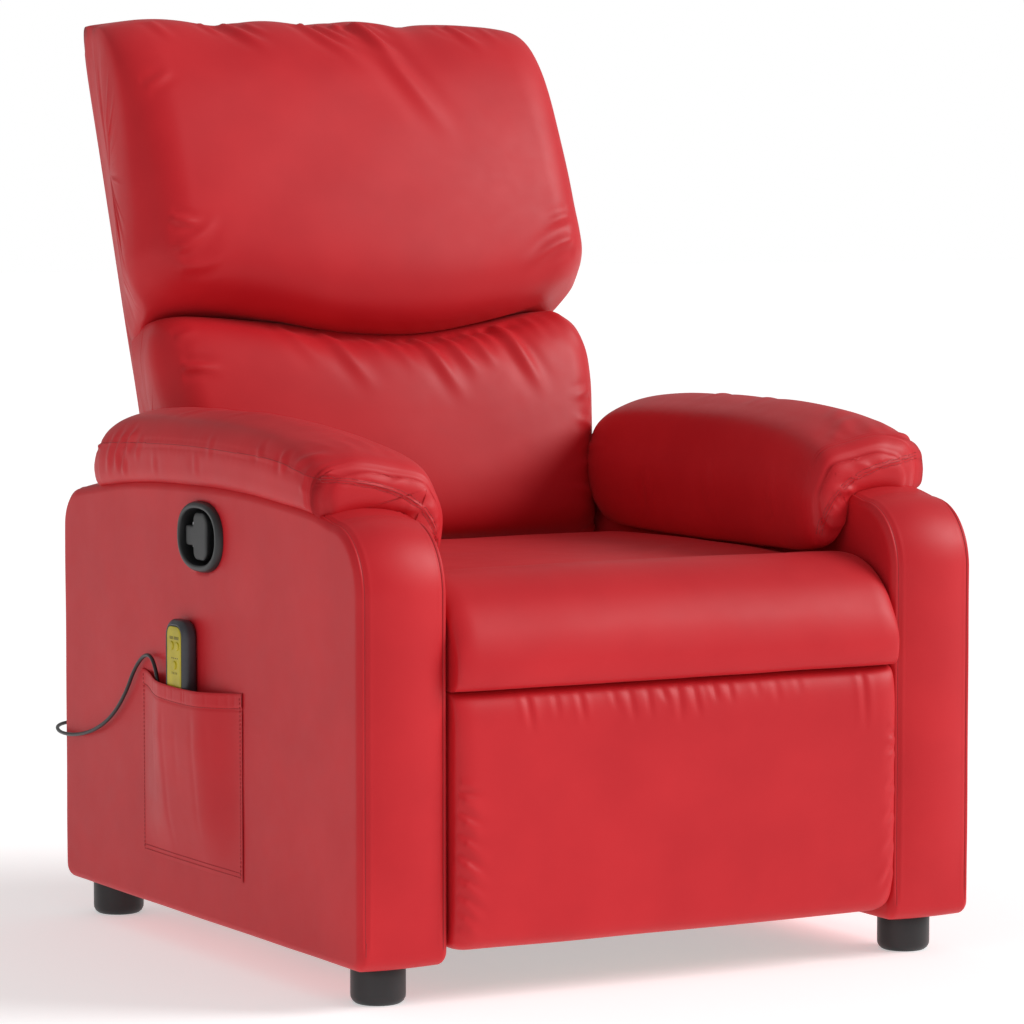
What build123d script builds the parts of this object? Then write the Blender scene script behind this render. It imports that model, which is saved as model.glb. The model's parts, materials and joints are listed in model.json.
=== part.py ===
"""Recliner massage chair: fixed arms and base, a sliding seat with a leaning back, and a footrest
on a double scissor linkage. Millimetres. +Z is up, -Y is the front, the sitter's right arm is at -X.
The origin is on the floor, under the middle of the chair's outer box."""
import os
from math import atan2, cos, degrees, pi, radians, sin

from build123d import *

os.makedirs("parts", exist_ok=True)

# ---- driving dimensions -------------------------------------------------------------------
FRONT = -450.0            # Y that distances towards the rear are counted from
HALF_WIDTH = 392.0        # X of the arms' outer faces
ARM_WIDTH = 108.0
ARM_FRONT = FRONT - 15.0  # Y of the arms' front faces
ARM_REAR = FRONT + 753.0
ARM_BOTTOM = 44.0         # underside of the arms, on top of the feet
ARM_CREST = (             # top of the arm bodies under the pads: (distance behind FRONT, Z)
    (50, 515), (92, 525), (250, 537), (420, 537), (565, 530), (646, 521), (707, 513),
)
FRONT_CORNER = (65.0, 75.0)         # depth and height of the arms' round upper front corner
REAR_CORNER = 46.0        # radius of the arms' upper rear corner
FRAME_CAP = 480.0         # top of the wooden frames in the arms
SKIN = 10.0               # foam and cover over the wooden frames
INNER = HALF_WIDTH - ARM_WIDTH      # X of the arms' inner faces
SEAT_HALF = 282.0         # half width of the seat, back and footrest cushions
SEAT_UNDER = 342.0        # underside of the seat cushions
SEAT_TOP = 449.0
FOOT_RADIUS = 30.0
BACK_ANGLE = 19.65        # lean of the back from upright
BACK_FOOT = (FRONT + 688.0, 335.0)  # (Y, Z) of the lower rear edge of the back
BACK_LENGTH = 758.0
SHELL_THICK = 70.0        # depth of the back's rear shell
BACK_PIVOT = (FRONT + 622.0, 347.0)

# double scissor linkage of the footrest
SCISSOR_TILT = 5.1769     # degrees that the line of the lower pivots leans
SCISSOR_LEAN = radians(SCISSOR_TILT)
BAR = 166.1               # between the end pivots of a bar
FOLDED = radians(81.4076)           # bar angle with the footrest down
OPENED = radians(39.9666)           # bar angle with the footrest fully out
MAIN_PIVOT = (FRONT + 105.4, 157.0)
BAR_WIDTH = 17.0
BAR_THICK = 3.5
LAYER = 4.5               # pitch of the bar layers across the chair
PLATE_X = 262.0           # inner face of the seat's side plates
PIN = 4.0                 # radius of the linkage rivets
RUN = 0.05                # radial clearance of a rivet in its hole

LEFT_RIGHT = (("right", -1), ("left", 1))


def export(part, name):
    part.label = name
    export_step(part, f"parts/{name}.step")


def across(side, inner, outer):
    """Start plane and extrusion length for a profile in Y, Z between two distances from the middle."""
    low = side * inner if side > 0 else side * outer
    return Plane.YZ.offset(low), outer - inner


def folded_point(along, up):
    """Point of the folded linkage, in half-lozenge steps along its lean and square to it."""
    a = along * BAR * cos(FOLDED)
    b = up * BAR * sin(FOLDED)
    y = MAIN_PIVOT[0] - a * cos(SCISSOR_LEAN) + b * sin(SCISSOR_LEAN)
    return (y, MAIN_PIVOT[1] + a * sin(SCISSOR_LEAN) + b * cos(SCISSOR_LEAN))


TIP_A = folded_point(1, 1)
SLIDER = folded_point(0, 1)
TIP_C = folded_point(1, 0)
TIP_D = folded_point(2, 1)
TIP_B = folded_point(2, 0)
MID_AC = folded_point(0.5, 0.5)
MID_BD = folded_point(1.5, 0.5)
STAY_TOP = (TIP_D[0] - 11.6, TIP_D[1] - 36.4)   # stay pivot on the footrest bracket

# the back is drawn on a plane that leans with it: X across, Y up the back, Z towards the sitter
lean = radians(BACK_ANGLE)
BACK = Plane(
    origin=(0, BACK_FOOT[0], BACK_FOOT[1]),
    x_dir=(1, 0, 0),
    z_dir=(0, -cos(lean), sin(lean)),
)


# ---- arms -----------------------------------------------------------------------------------
HANDLE_Y = FRONT + 363.0
HANDLE_Z = 480.0
HANDLE_LONG = 108.0
HANDLE_TALL = 80.0
CUP_DEPTH = 26.0          # depth of the handle's cup behind the arm's face
COVER_BOTTOM = ARM_BOTTOM + 2.0
ARM_MIDDLE = (FRONT + ARM_REAR) / 2
FRAME_LONG = 673.0        # length of the wooden frame in an arm
FRAME_WIDE = ARM_WIDTH - 2 * SKIN
FRAME_RUN = 0.3           # gap between the wooden frame and the foam on each side
PAD_GAP = 1.5             # the pads rest so far above the arm bodies

for name, side in LEFT_RIGHT:
    middle = side * (INNER + ARM_WIDTH / 2)
    # plywood box frame: two boards joined by blocks
    with BuildPart() as arm_frame:
        with BuildSketch(Plane.XY.offset(ARM_BOTTOM)):
            with Locations((middle, ARM_MIDDLE)):
                Rectangle(FRAME_WIDE - 2 * FRAME_RUN, FRAME_LONG)
        extrude(amount=FRAME_CAP - ARM_BOTTOM)
        with BuildSketch(Plane.XY.offset(ARM_BOTTOM + 40)):
            with Locations((middle, ARM_MIDDLE)):
                with GridLocations(0, 325, 1, 2):
                    Rectangle(FRAME_WIDE - 30, 285)
        extrude(amount=FRAME_CAP - 80 - ARM_BOTTOM, mode=Mode.SUBTRACT)
        if side < 0:
            with BuildSketch(Plane.YZ.offset(-HALF_WIDTH)):
                with Locations((HANDLE_Y, HANDLE_Z)):
                    Rectangle(HANDLE_LONG + 4, HANDLE_TALL + 4)
            extrude(amount=CUP_DEPTH + 4, mode=Mode.SUBTRACT)
    export(arm_frame.part, f"arm_frame_{name}")

    # padded cover: open underneath, its front band runs over the round upper front corner
    start, length = across(side, INNER, HALF_WIDTH)
    crest = [(FRONT + y, z) for y, z in ARM_CREST]
    corner_base = crest[0][1] - FRONT_CORNER[1]
    corner_end = (ARM_REAR, crest[-1][1] - REAR_CORNER)
    with BuildPart() as arm_cover:
        with BuildSketch(start):
            with BuildLine():
                Polyline(corner_end, (ARM_REAR, COVER_BOTTOM), (ARM_FRONT, COVER_BOTTOM),
                         (ARM_FRONT, corner_base))
                EllipticalCenterArc((crest[0][0], corner_base), *FRONT_CORNER, start_angle=90, arc_size=90)
                Polyline(*crest)
                RadiusArc(crest[-1], corner_end, REAR_CORNER)
            make_face()
        extrude(amount=length)
        with BuildSketch(Plane.XY.offset(COVER_BOTTOM)):
            with Locations((middle, ARM_MIDDLE)):
                Rectangle(FRAME_WIDE, FRAME_LONG + 2)
        extrude(amount=FRAME_CAP + 1 - COVER_BOTTOM, mode=Mode.SUBTRACT)
        if side < 0:
            with BuildSketch(Plane.YZ.offset(-HALF_WIDTH)):
                with Locations((HANDLE_Y, HANDLE_Z)):
                    Ellipse(HANDLE_LONG / 2 - 5.7, HANDLE_TALL / 2 - 5.7)
            extrude(amount=CUP_DEPTH, mode=Mode.SUBTRACT)
    export(arm_cover.part, f"arm_cover_{name}")

    # thick pad: short outside, hanging to the seat on the inner side
    def pad_section(y, top, outer_low, inner_low, outer, inner):
        """Cross-section of the pad over the arm, from its outer to its inner bulge."""
        with BuildSketch(Plane.XZ.offset(-y)) as section:
            with BuildLine():
                Polyline(
                    (side * (HALF_WIDTH + outer), outer_low + 12),
                    (side * (HALF_WIDTH - 2), outer_low),
                    (side * (INNER - 0.6), outer_low),
                    (side * (INNER - 0.6), inner_low + 6),
                    (side * (inner + 12), inner_low),
                    (side * inner, inner_low + 18),
                    (side * inner, top - 42),
                    (side * (inner + 38), top - 4),
                    (side * (HALF_WIDTH - 52), top),
                    (side * (HALF_WIDTH - 14), top - 14),
                    (side * (HALF_WIDTH + outer), top - 42),
                    (side * (HALF_WIDTH + outer), outer_low + 12),
                )
            make_face()
        return section.sketch

    low = [z + PAD_GAP for y, z in ARM_CREST[1:6]]
    with BuildPart() as arm_pad:
        loft(
            [
                pad_section(FRONT + 92, 588, low[0], 464, 4, 256),
                pad_section(FRONT + 250, 615, low[1], 453, 6, 246),
                pad_section(FRONT + 420, 618, low[2], 453, 6, 246),
                pad_section(FRONT + 565, 610, low[3], 456, 5, 252),
            ],
            ruled=True,
        )
        with BuildSketch(Plane.YZ.offset(side * (INNER + 1))):
            with BuildLine():
                Polyline(
                    (FRONT + 565, low[3]), (FRONT + 646, low[4]), (FRONT + 660, 538),
                    (FRONT + 652, 574), (FRONT + 614, 598), (FRONT + 565, 609),
                    (FRONT + 565, low[3]),
                )
            make_face()
        extrude(amount=side * (ARM_WIDTH - 1 + 4))
        with BuildSketch(Plane.YZ.offset(side * (INNER - 22))):
            with BuildLine():
                Polyline(
                    (FRONT + 92, low[0]), (FRONT + 92, 584), (FRONT + 81, 572),
                    (FRONT + 76, 556), (FRONT + 78, 534), (FRONT + 92, low[0]),
                )
            make_face()
        extrude(amount=side * (ARM_WIDTH + 14))
    export(arm_pad.part, f"arm_pad_{name}")

    for place, y in (("front", FRONT + 41), ("rear", FRONT + 712)):
        with BuildPart() as foot:
            with BuildSketch():
                with Locations((side * (HALF_WIDTH - 52), y)):
                    Circle(FOOT_RADIUS)
            extrude(amount=ARM_BOTTOM)
            fillet(foot.edges().sort_by(Axis.Z)[0], 6)
        export(foot.part, f"foot_{place}_{name}")

# ---- base between the arms ------------------------------------------------------------------
RAIL_HALF = INNER - 0.2
for name, y, z in (("front", FRONT + 215, 92), ("rear", FRONT + 690, 92)):
    with BuildPart() as rail:
        with BuildSketch(Plane.YZ.offset(-RAIL_HALF)):
            with Locations((y, z)):
                RectangleRounded(30, 30, 3)
                RectangleRounded(26, 26, 1, mode=Mode.SUBTRACT)
        extrude(amount=2 * RAIL_HALF)
    export(rail.part, f"{name}_rail")

RUNNER_Z = 235.0
RUNNER_TALL = 18.0
CHANNEL_WALL = 3.0
CHANNEL_GAP = 1.0
for name, side in LEFT_RIGHT:
    start, length = across(side, 268, RAIL_HALF)
    web, web_length = across(side, 268, RAIL_HALF - CHANNEL_WALL)
    with BuildPart() as slide_rail:
        with BuildSketch(start):
            with Locations((FRONT + 380, RUNNER_Z)):
                Rectangle(480, RUNNER_TALL + 2 * (CHANNEL_WALL + CHANNEL_GAP))
        extrude(amount=length)
        with BuildSketch(web):
            with Locations((FRONT + 380, RUNNER_Z)):
                Rectangle(480, RUNNER_TALL + 2 * CHANNEL_GAP)
        extrude(amount=web_length, mode=Mode.SUBTRACT)
    export(slide_rail.part, f"slide_rail_{name}")

# ---- release handle in the right arm ----------------------------------------------------------
FACE = -HALF_WIDTH
BEZEL_PROUD = 8.0
HINGE_AT = (FACE + 6, HANDLE_Y + 34)        # (X, Y) of the paddle's upright hinge pin
HINGE_RADIUS = 2.0
with BuildPart() as handle_bezel:
    with BuildSketch(Plane.YZ.offset(FACE - BEZEL_PROUD)):
        with Locations((HANDLE_Y, HANDLE_Z)):
            Ellipse(HANDLE_LONG / 2, HANDLE_TALL / 2)
    extrude(amount=BEZEL_PROUD - 0.2)
    with BuildSketch(Plane.YZ.offset(FACE - 0.2)):
        with Locations((HANDLE_Y, HANDLE_Z)):
            Ellipse(HANDLE_LONG / 2 - 6, HANDLE_TALL / 2 - 6)
    extrude(amount=CUP_DEPTH - 0.5)
    with BuildSketch(Plane.YZ.offset(FACE - BEZEL_PROUD)):
        with Locations((HANDLE_Y, HANDLE_Z)):
            Ellipse(HANDLE_LONG / 2 - 8.5, HANDLE_TALL / 2 - 8.5)
    extrude(amount=BEZEL_PROUD + CUP_DEPTH - 4, mode=Mode.SUBTRACT)
    # two ears hold the hinge pin at the rear of the cup
    with BuildSketch(Plane.XY.offset(HANDLE_Z)):
        with Locations(HINGE_AT):
            Rectangle(12, 12)
    extrude(amount=16, both=True)
    with BuildSketch(Plane.XY.offset(HANDLE_Z)):
        with Locations(HINGE_AT):
            Rectangle(30, 22)
    extrude(amount=11.6, both=True, mode=Mode.SUBTRACT)
    with BuildSketch(Plane.XY.offset(HANDLE_Z)):
        with Locations(HINGE_AT):
            Circle(HINGE_RADIUS)
    extrude(amount=14, both=True, mode=Mode.SUBTRACT)
export(handle_bezel.part, "handle_bezel")

with BuildPart() as handle_pin:
    with BuildSketch(Plane.XY.offset(HANDLE_Z - 14)):
        with Locations(HINGE_AT):
            Circle(HINGE_RADIUS)
    extrude(amount=28)
export(handle_pin.part, "handle_pin")

with BuildPart() as handle_paddle:
    with BuildSketch(Plane.YZ.offset(FACE - 3)):
        with Locations((HANDLE_Y + 1, HANDLE_Z)):
            RectangleRounded(34, 54, 9)
        with Locations((HANDLE_Y + 20, HANDLE_Z)):
            RectangleRounded(36, 22, 3)
    extrude(amount=12)
    with BuildSketch(Plane.XY.offset(HANDLE_Z)):
        with Locations(HINGE_AT):
            Circle(HINGE_RADIUS + RUN)
    extrude(amount=12, both=True, mode=Mode.SUBTRACT)
export(handle_paddle.part, "handle_paddle")

# ---- side pocket and handset --------------------------------------------------------------------
POCKET_Y = FRONT + 262.0
POCKET_LONG = 262.0
POCKET_LOW = 102.0
POCKET_TALL = 220.0
POCKET_OUT = FACE - 20.0
with BuildPart() as side_pocket:
    with BuildSketch(Plane.YZ.offset(POCKET_OUT)):
        with BuildLine():
            Line((POCKET_Y + POCKET_LONG, 316), (POCKET_Y + POCKET_LONG, POCKET_LOW))
            Line((POCKET_Y + POCKET_LONG, POCKET_LOW), (POCKET_Y, POCKET_LOW))
            Line((POCKET_Y, POCKET_LOW), (POCKET_Y, 313))
            ThreePointArc((POCKET_Y, 313), (POCKET_Y + 130, 308), (POCKET_Y + POCKET_LONG, 316))
        make_face()
    extrude(amount=19.8)
    with BuildSketch(Plane.YZ.offset(POCKET_OUT + 2)):
        with Locations((POCKET_Y + POCKET_LONG / 2, POCKET_LOW + 155)):
            Rectangle(POCKET_LONG - 6, 304)
    extrude(amount=30, mode=Mode.SUBTRACT)
export(side_pocket.part, "side_pocket")

HANDSET_Y = FRONT + 403.0
HANDSET_LOW = 236.0
HANDSET_TALL = 148.0
HANDSET_WIDE = 50.0
HANDSET_BACK = FACE - 0.4
HANDSET_FACE = FACE - 17.0
with BuildPart() as handset_case:
    with BuildSketch(Plane.YZ.offset(HANDSET_FACE + 2)):
        with Locations((HANDSET_Y, HANDSET_LOW + HANDSET_TALL / 2)):
            RectangleRounded(HANDSET_WIDE, HANDSET_TALL, 22)
    extrude(amount=HANDSET_BACK - HANDSET_FACE - 2)
    fillet(handset_case.faces().sort_by(Axis.X)[-1].edges(), 4)
    with BuildSketch(Plane.YZ.offset(HANDSET_FACE)):
        with Locations((HANDSET_Y, HANDSET_LOW + HANDSET_TALL / 2)):
            RectangleRounded(HANDSET_WIDE - 9, HANDSET_TALL - 9, 18)
            RectangleRounded(HANDSET_WIDE - 13, HANDSET_TALL - 13, 16, mode=Mode.SUBTRACT)
    extrude(amount=2)
export(handset_case.part, "handset_case")

KEY_Z = HANDSET_LOW + HANDSET_TALL - 52
key_centres = [(HANDSET_Y - 7, KEY_Z + 22), (HANDSET_Y + 7, KEY_Z + 22), (HANDSET_Y, KEY_Z)]
with BuildPart() as handset_face:
    with BuildSketch(Plane.YZ.offset(HANDSET_FACE + 0.6)):
        with Locations((HANDSET_Y, HANDSET_LOW + HANDSET_TALL / 2)):
            RectangleRounded(HANDSET_WIDE - 13.4, HANDSET_TALL - 13.4, 15.8)
        with Locations(*key_centres):
            Circle(5.4, mode=Mode.SUBTRACT)
    extrude(amount=1.3)
export(handset_face.part, "handset_face")

for number, (y, z) in enumerate(key_centres, start=1):
    with BuildPart() as key:
        with BuildSketch(Plane.YZ.offset(HANDSET_FACE - 0.2)):
            with Locations((y, z)):
                Circle(5.0)
        extrude(amount=1.5)
    export(key.part, f"key_{number}")

# ---- power: control box under the seat, inlet and cord grommet at the rear -------------------------
with BuildPart() as control_box:
    with BuildSketch(Plane.XY.offset(107)):
        with Locations((-150, FRONT + 660)):
            RectangleRounded(150, 84, 6)
    extrude(amount=42)
    chamfer(control_box.edges().group_by(Axis.Z)[-1], 2)
    with BuildSketch(Plane.XZ.offset(-(FRONT + 702))):
        with Locations((-110, 128)):
            Rectangle(30, 24)
    extrude(amount=14, mode=Mode.SUBTRACT)
export(control_box.part, "control_box")

with BuildPart() as power_inlet:
    with BuildSketch(Plane.XZ.offset(-(FRONT + 704))):
        with Locations((-110, 128)):
            Rectangle(29.6, 23.6)
            RectangleRounded(24, 16, 3, mode=Mode.SUBTRACT)
    extrude(amount=12)
    with BuildSketch(Plane.XZ.offset(-(FRONT + 693))):
        with Locations((-110, 128)):
            Rectangle(29.6, 23.6)
    extrude(amount=2)
    with BuildSketch(Plane.XZ.offset(-(FRONT + 693))):
        with Locations((-117, 128), (-110, 132), (-103, 128)):
            Rectangle(2, 5)
    extrude(amount=-8)
export(power_inlet.part, "power_inlet")

with BuildPart() as cord_grommet:
    with BuildSketch(Plane.XZ.offset(-(FRONT + 702))):
        with Locations((-190, 128)):
            Circle(8)
    extrude(amount=-7)
    with BuildSketch(Plane.XZ.offset(-(FRONT + 709))):
        with Locations((-190, 128)):
            Circle(5)
    extrude(amount=-10)
export(cord_grommet.part, "cord_grommet")

# ---- handset cord ------------------------------------------------------------------------------
CORD_RADIUS = 2.2
IN_POCKET = FACE - 9.0               # X of the cord inside the pocket
ON_PANEL = FACE - CORD_RADIUS - 3.5  # X of the cord along the side panel
CORD_ROUTE = [
    (HANDSET_BACK - 7.3, HANDSET_Y, HANDSET_LOW),
    (HANDSET_BACK - 7.3, HANDSET_Y, 206),
    (IN_POCKET, FRONT + 424, 180),
    (IN_POCKET, FRONT + 455, 190),
    (IN_POCKET, FRONT + 467, 226),
    (IN_POCKET, FRONT + 461, 268),
    (IN_POCKET, FRONT + 464, 308),
    (IN_POCKET + 1, FRONT + 482, 334),
    (ON_PANEL, FRONT + 509, 334),
    (ON_PANEL, FRONT + 537, 314),
    (ON_PANEL, FRONT + 562, 282),
    (ON_PANEL, FRONT + 601, 251),
    (ON_PANEL - 1, FRONT + 651, 229),
    (ON_PANEL - 2, FRONT + 706, 218),
    (ON_PANEL - 2, FRONT + 752, 217),
    (FACE + 8, FRONT + 793, 221),
    (FACE + 50, FRONT + 812, 222),
    (FACE + 100, FRONT + 804, 203),
    (FACE + 150, FRONT + 788, 170),
    (FACE + 188, FRONT + 768, 141),
    (FACE + 202, FRONT + 745, 128),
    (FACE + 202, FRONT + 719, 128),
]


def bend_radii(points):
    """The largest arc that each bend of a route has room for."""
    radii = []
    for before, here, after in zip(points, points[1:], points[2:]):
        a = Vector(*here) - Vector(*before)
        b = Vector(*after) - Vector(*here)
        half_turn = radians(a.get_angle(b)) / 2
        radii.append(0.45 * min(a.length, b.length) * cos(half_turn) / sin(half_turn))
    return radii


cord_radii = bend_radii(CORD_ROUTE)
print("cord bend radii, mm:", [round(r) for r in cord_radii])
with BuildPart() as handset_cord:
    with BuildLine() as cord_line:
        FilletPolyline(*CORD_ROUTE, radius=cord_radii)
    with BuildSketch(Plane(origin=CORD_ROUTE[0], z_dir=cord_line.line % 0)):
        Circle(CORD_RADIUS)
    sweep(path=cord_line.line)
export(handset_cord.part, "handset_cord")
cord_length = sum(edge.length for edge in cord_line.edges())
cord_section = pi * CORD_RADIUS**2
print("cord length, mm:", round(cord_length, 1), "volume ratio:",
      round(handset_cord.part.volume / (cord_section * cord_length), 4))

# ---- seat carriage ------------------------------------------------------------------------------
RUNNER_FROM = FRONT + 300.0
RUNNER_TO = FRONT + 560.0
PLATE = 3.0
HINGE_STUB = 6.0
slot_low = BAR * sin(OPENED)
slot_high = BAR * sin(FOLDED)
slot_middle = (slot_low + slot_high) / 2
for name, side in LEFT_RIGHT:
    start, length = across(side, PLATE_X, PLATE_X + PLATE)
    with BuildPart() as side_plate:
        with BuildSketch(start):
            with BuildLine():
                Polyline(
                    (FRONT + 92, 143), (FRONT + 126, 143), (FRONT + 160, 222),
                    (FRONT + 560, 222), (FRONT + 628, 339), (FRONT + 622, 356.5),
                    (FRONT + 612, 352), (FRONT + 585, 338), (FRONT + 92, 338),
                    (FRONT + 92, 143),
                )
            make_face()
            with Locations(BACK_PIVOT):
                Circle(9.5)
            with Locations(MAIN_PIVOT):
                Circle(14)
                Circle(HINGE_STUB + RUN, mode=Mode.SUBTRACT)
            slot_centre = (
                MAIN_PIVOT[0] + slot_middle * sin(SCISSOR_LEAN),
                MAIN_PIVOT[1] + slot_middle * cos(SCISSOR_LEAN),
            )
            with Locations(slot_centre):
                SlotCenterToCenter(
                    slot_high - slot_low + 8, 2 * (PIN + RUN),
                    rotation=90 - SCISSOR_TILT, mode=Mode.SUBTRACT,
                )
            with Locations((FRONT + 250, 280), (FRONT + 350, 280), (FRONT + 450, 280)):
                SlotCenterToCenter(50, 30, mode=Mode.SUBTRACT)
        extrude(amount=length)
        # runner that slides in the channel on the arm
        runner, runner_length = across(side, PLATE_X + PLATE, 279)
        with BuildSketch(runner):
            with Locations(((RUNNER_FROM + RUNNER_TO) / 2, RUNNER_Z)):
                Rectangle(RUNNER_TO - RUNNER_FROM, RUNNER_TALL)
        extrude(amount=runner_length)
        # stub that carries the back's bracket
        stub, stub_length = across(side, 256.5, PLATE_X)
        with BuildSketch(stub):
            with Locations(BACK_PIVOT):
                Circle(HINGE_STUB)
        extrude(amount=stub_length)
    export(side_plate.part, f"side_plate_{name}")

FRAME_LOW = 306.0
FRAME_TOP = 339.5
with BuildPart() as seat_frame:
    with BuildSketch(Plane.XY.offset(FRAME_LOW)):
        with Locations((0, FRONT + 355)):
            Rectangle(2 * PLATE_X, 410)
            Rectangle(2 * PLATE_X - 80, 340, mode=Mode.SUBTRACT)
    extrude(amount=FRAME_TOP - FRAME_LOW)
    with BuildSketch(Plane.XY.offset(FRAME_TOP - 1)):
        with Locations((0, FRONT + 91)):
            Rectangle(2 * PLATE_X, 134)
    extrude(amount=3)
    fillet(seat_frame.edges().filter_by(Axis.Z).group_by(Axis.Y)[-1], 8)
export(seat_frame.part, "seat_frame")

with BuildPart() as seat_webbing:
    with BuildSketch(Plane.XY.offset(FRAME_TOP)):
        with Locations((0, FRONT + 360)):
            with GridLocations(0, 78, 1, 5):
                Rectangle(500, 46)
            with GridLocations(92, 0, 5, 1):
                Rectangle(46, 388)
    extrude(amount=2)
export(seat_webbing.part, "seat_webbing")

MOTOR_RADIUS = 34.0
with BuildPart() as seat_motor:
    with BuildSketch(Plane.XY.offset(FRAME_TOP - 30)):
        with Locations((0, FRONT + 360)):
            Circle(MOTOR_RADIUS)
    extrude(amount=30)
    fillet(seat_motor.edges().sort_by(Axis.Z)[0], 6)
export(seat_motor.part, "seat_motor")

with BuildPart() as seat_cushion:
    with BuildSketch(Plane.XY.offset(SEAT_UNDER)):
        with Locations((0, FRONT + 340)):
            Rectangle(2 * SEAT_HALF, 436)
    extrude(amount=SEAT_TOP - SEAT_UNDER)
    fillet(seat_cushion.edges().group_by(Axis.Z)[-1], 16)
    fillet(seat_cushion.edges().filter_by(Axis.Z), 14)
export(seat_cushion.part, "seat_cushion")

with BuildPart() as seat_roll:
    with BuildSketch(Plane.YZ.offset(-SEAT_HALF)):
        with BuildLine():
            Line((FRONT + 121, SEAT_UNDER), (FRONT, SEAT_UNDER))
            EllipticalCenterArc(
                (FRONT, SEAT_UNDER + 55), 38, 55, start_angle=180, arc_size=90,
            )
            Line((FRONT - 38, SEAT_UNDER + 55), (FRONT - 38, 412))
            EllipticalCenterArc((FRONT + 40, 412), 78, 46, start_angle=90, arc_size=90)
            Line((FRONT + 40, 458), (FRONT + 70, 458))
            EllipticalCenterArc((FRONT + 70, 440), 51, 18, start_angle=0, arc_size=90)
            Line((FRONT + 121, 440), (FRONT + 121, SEAT_UNDER))
        make_face()
    extrude(amount=2 * SEAT_HALF)
    fillet(seat_roll.faces().filter_by(Axis.X).edges(), 8)
export(seat_roll.part, "seat_roll")


# ---- back -----------------------------------------------------------------------------------
def back_point(up, out):
    """Y, Z of a point so far up the back's rear face and so far in front of it."""
    return (
        BACK_FOOT[0] + up * sin(lean) - out * cos(lean),
        BACK_FOOT[1] + up * cos(lean) + out * sin(lean),
    )


SHELL_WALL = 12.0
OUTWARD = Axis((0, 0, 0), (0, -cos(lean), sin(lean)))
with BuildPart() as back_shell:
    with BuildSketch(BACK):
        with Locations((0, BACK_LENGTH / 2)):
            Rectangle(2 * SEAT_HALF, BACK_LENGTH)
    extrude(amount=SHELL_THICK)
    fillet(back_shell.faces().sort_by(OUTWARD)[0].edges(), 18)
    with BuildSketch(BACK.offset(SHELL_WALL)):
        with Locations((0, BACK_LENGTH / 2 - SHELL_WALL)):
            Rectangle(2 * (SEAT_HALF - SHELL_WALL), BACK_LENGTH)
    extrude(amount=SHELL_THICK, mode=Mode.SUBTRACT)
export(back_shell.part, "back_shell")

BACK_FRAME_HALF = 257.0
BACK_FRAME_FRONT = 67.5
with BuildPart() as back_frame:
    with BuildSketch(BACK.offset(26)):
        with Locations((0, 375)):
            Rectangle(2 * BACK_FRAME_HALF, 732)
            Rectangle(2 * BACK_FRAME_HALF - 84, 640, mode=Mode.SUBTRACT)
    extrude(amount=BACK_FRAME_FRONT - 26)
export(back_frame.part, "back_frame")

with BuildPart() as back_webbing:
    with BuildSketch(BACK.offset(BACK_FRAME_FRONT)):
        with Locations((0, 375)):
            with GridLocations(0, 92, 1, 8):
                Rectangle(490, 46)
            with GridLocations(98, 0, 5, 1):
                Rectangle(46, 710)
    extrude(amount=2)
export(back_webbing.part, "back_webbing")

for name, side in LEFT_RIGHT:
    with BuildPart() as back_motor:
        with BuildSketch(BACK.offset(BACK_FRAME_FRONT - 30)):
            with Locations((side * 98, 242)):
                Circle(MOTOR_RADIUS)
        extrude(amount=30)
        chamfer(back_motor.edges().filter_by(GeomType.CIRCLE).sort_by(Axis.Y)[-1], 4)
    export(back_motor.part, f"back_motor_{name}")

    start, length = across(side, BACK_FRAME_HALF, BACK_FRAME_HALF + PLATE)
    with BuildPart() as back_bracket:
        with BuildSketch(start):
            with BuildLine():
                Polyline(
                    (BACK_PIVOT[0] - 9, BACK_PIVOT[1] + 3), back_point(62, 66),
                    back_point(170, 64), back_point(170, 40), back_point(12, 36),
                    (BACK_PIVOT[0] + 8, BACK_PIVOT[1] - 5), (BACK_PIVOT[0] - 9, BACK_PIVOT[1] + 3),
                )
            make_face()
            with Locations(BACK_PIVOT):
                Circle(9.5)
                Circle(HINGE_STUB + RUN, mode=Mode.SUBTRACT)
        extrude(amount=length)
    export(back_bracket.part, f"back_bracket_{name}")

LUMBAR_FROM = 70.0
LUMBAR_TO = 372.0
LUMBAR_FRONT = 156.0
HEAD_FRONT = 178.0
BEHIND = SHELL_THICK + 0.3
with BuildPart() as lumbar_cushion:
    with BuildSketch(Plane.YZ.offset(-SEAT_HALF)):
        with BuildLine():
            Polyline(
                back_point(LUMBAR_TO - 40, LUMBAR_FRONT), back_point(LUMBAR_FROM + 45, LUMBAR_FRONT)
            )
            ThreePointArc(
                back_point(LUMBAR_FROM + 45, LUMBAR_FRONT),
                back_point(LUMBAR_FROM + 12, LUMBAR_FRONT - 12),
                back_point(LUMBAR_FROM, LUMBAR_FRONT - 44),
            )
            Polyline(
                back_point(LUMBAR_FROM, LUMBAR_FRONT - 44), back_point(LUMBAR_FROM, BEHIND),
                back_point(LUMBAR_TO, BEHIND), back_point(LUMBAR_TO, LUMBAR_FRONT - 42),
            )
            ThreePointArc(
                back_point(LUMBAR_TO, LUMBAR_FRONT - 42),
                back_point(LUMBAR_TO - 11, LUMBAR_FRONT - 12),
                back_point(LUMBAR_TO - 40, LUMBAR_FRONT),
            )
        make_face()
    extrude(amount=2 * SEAT_HALF)
    fillet(lumbar_cushion.faces().filter_by(Axis.X).edges(), 16)
export(lumbar_cushion.part, "lumbar_cushion")

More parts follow.
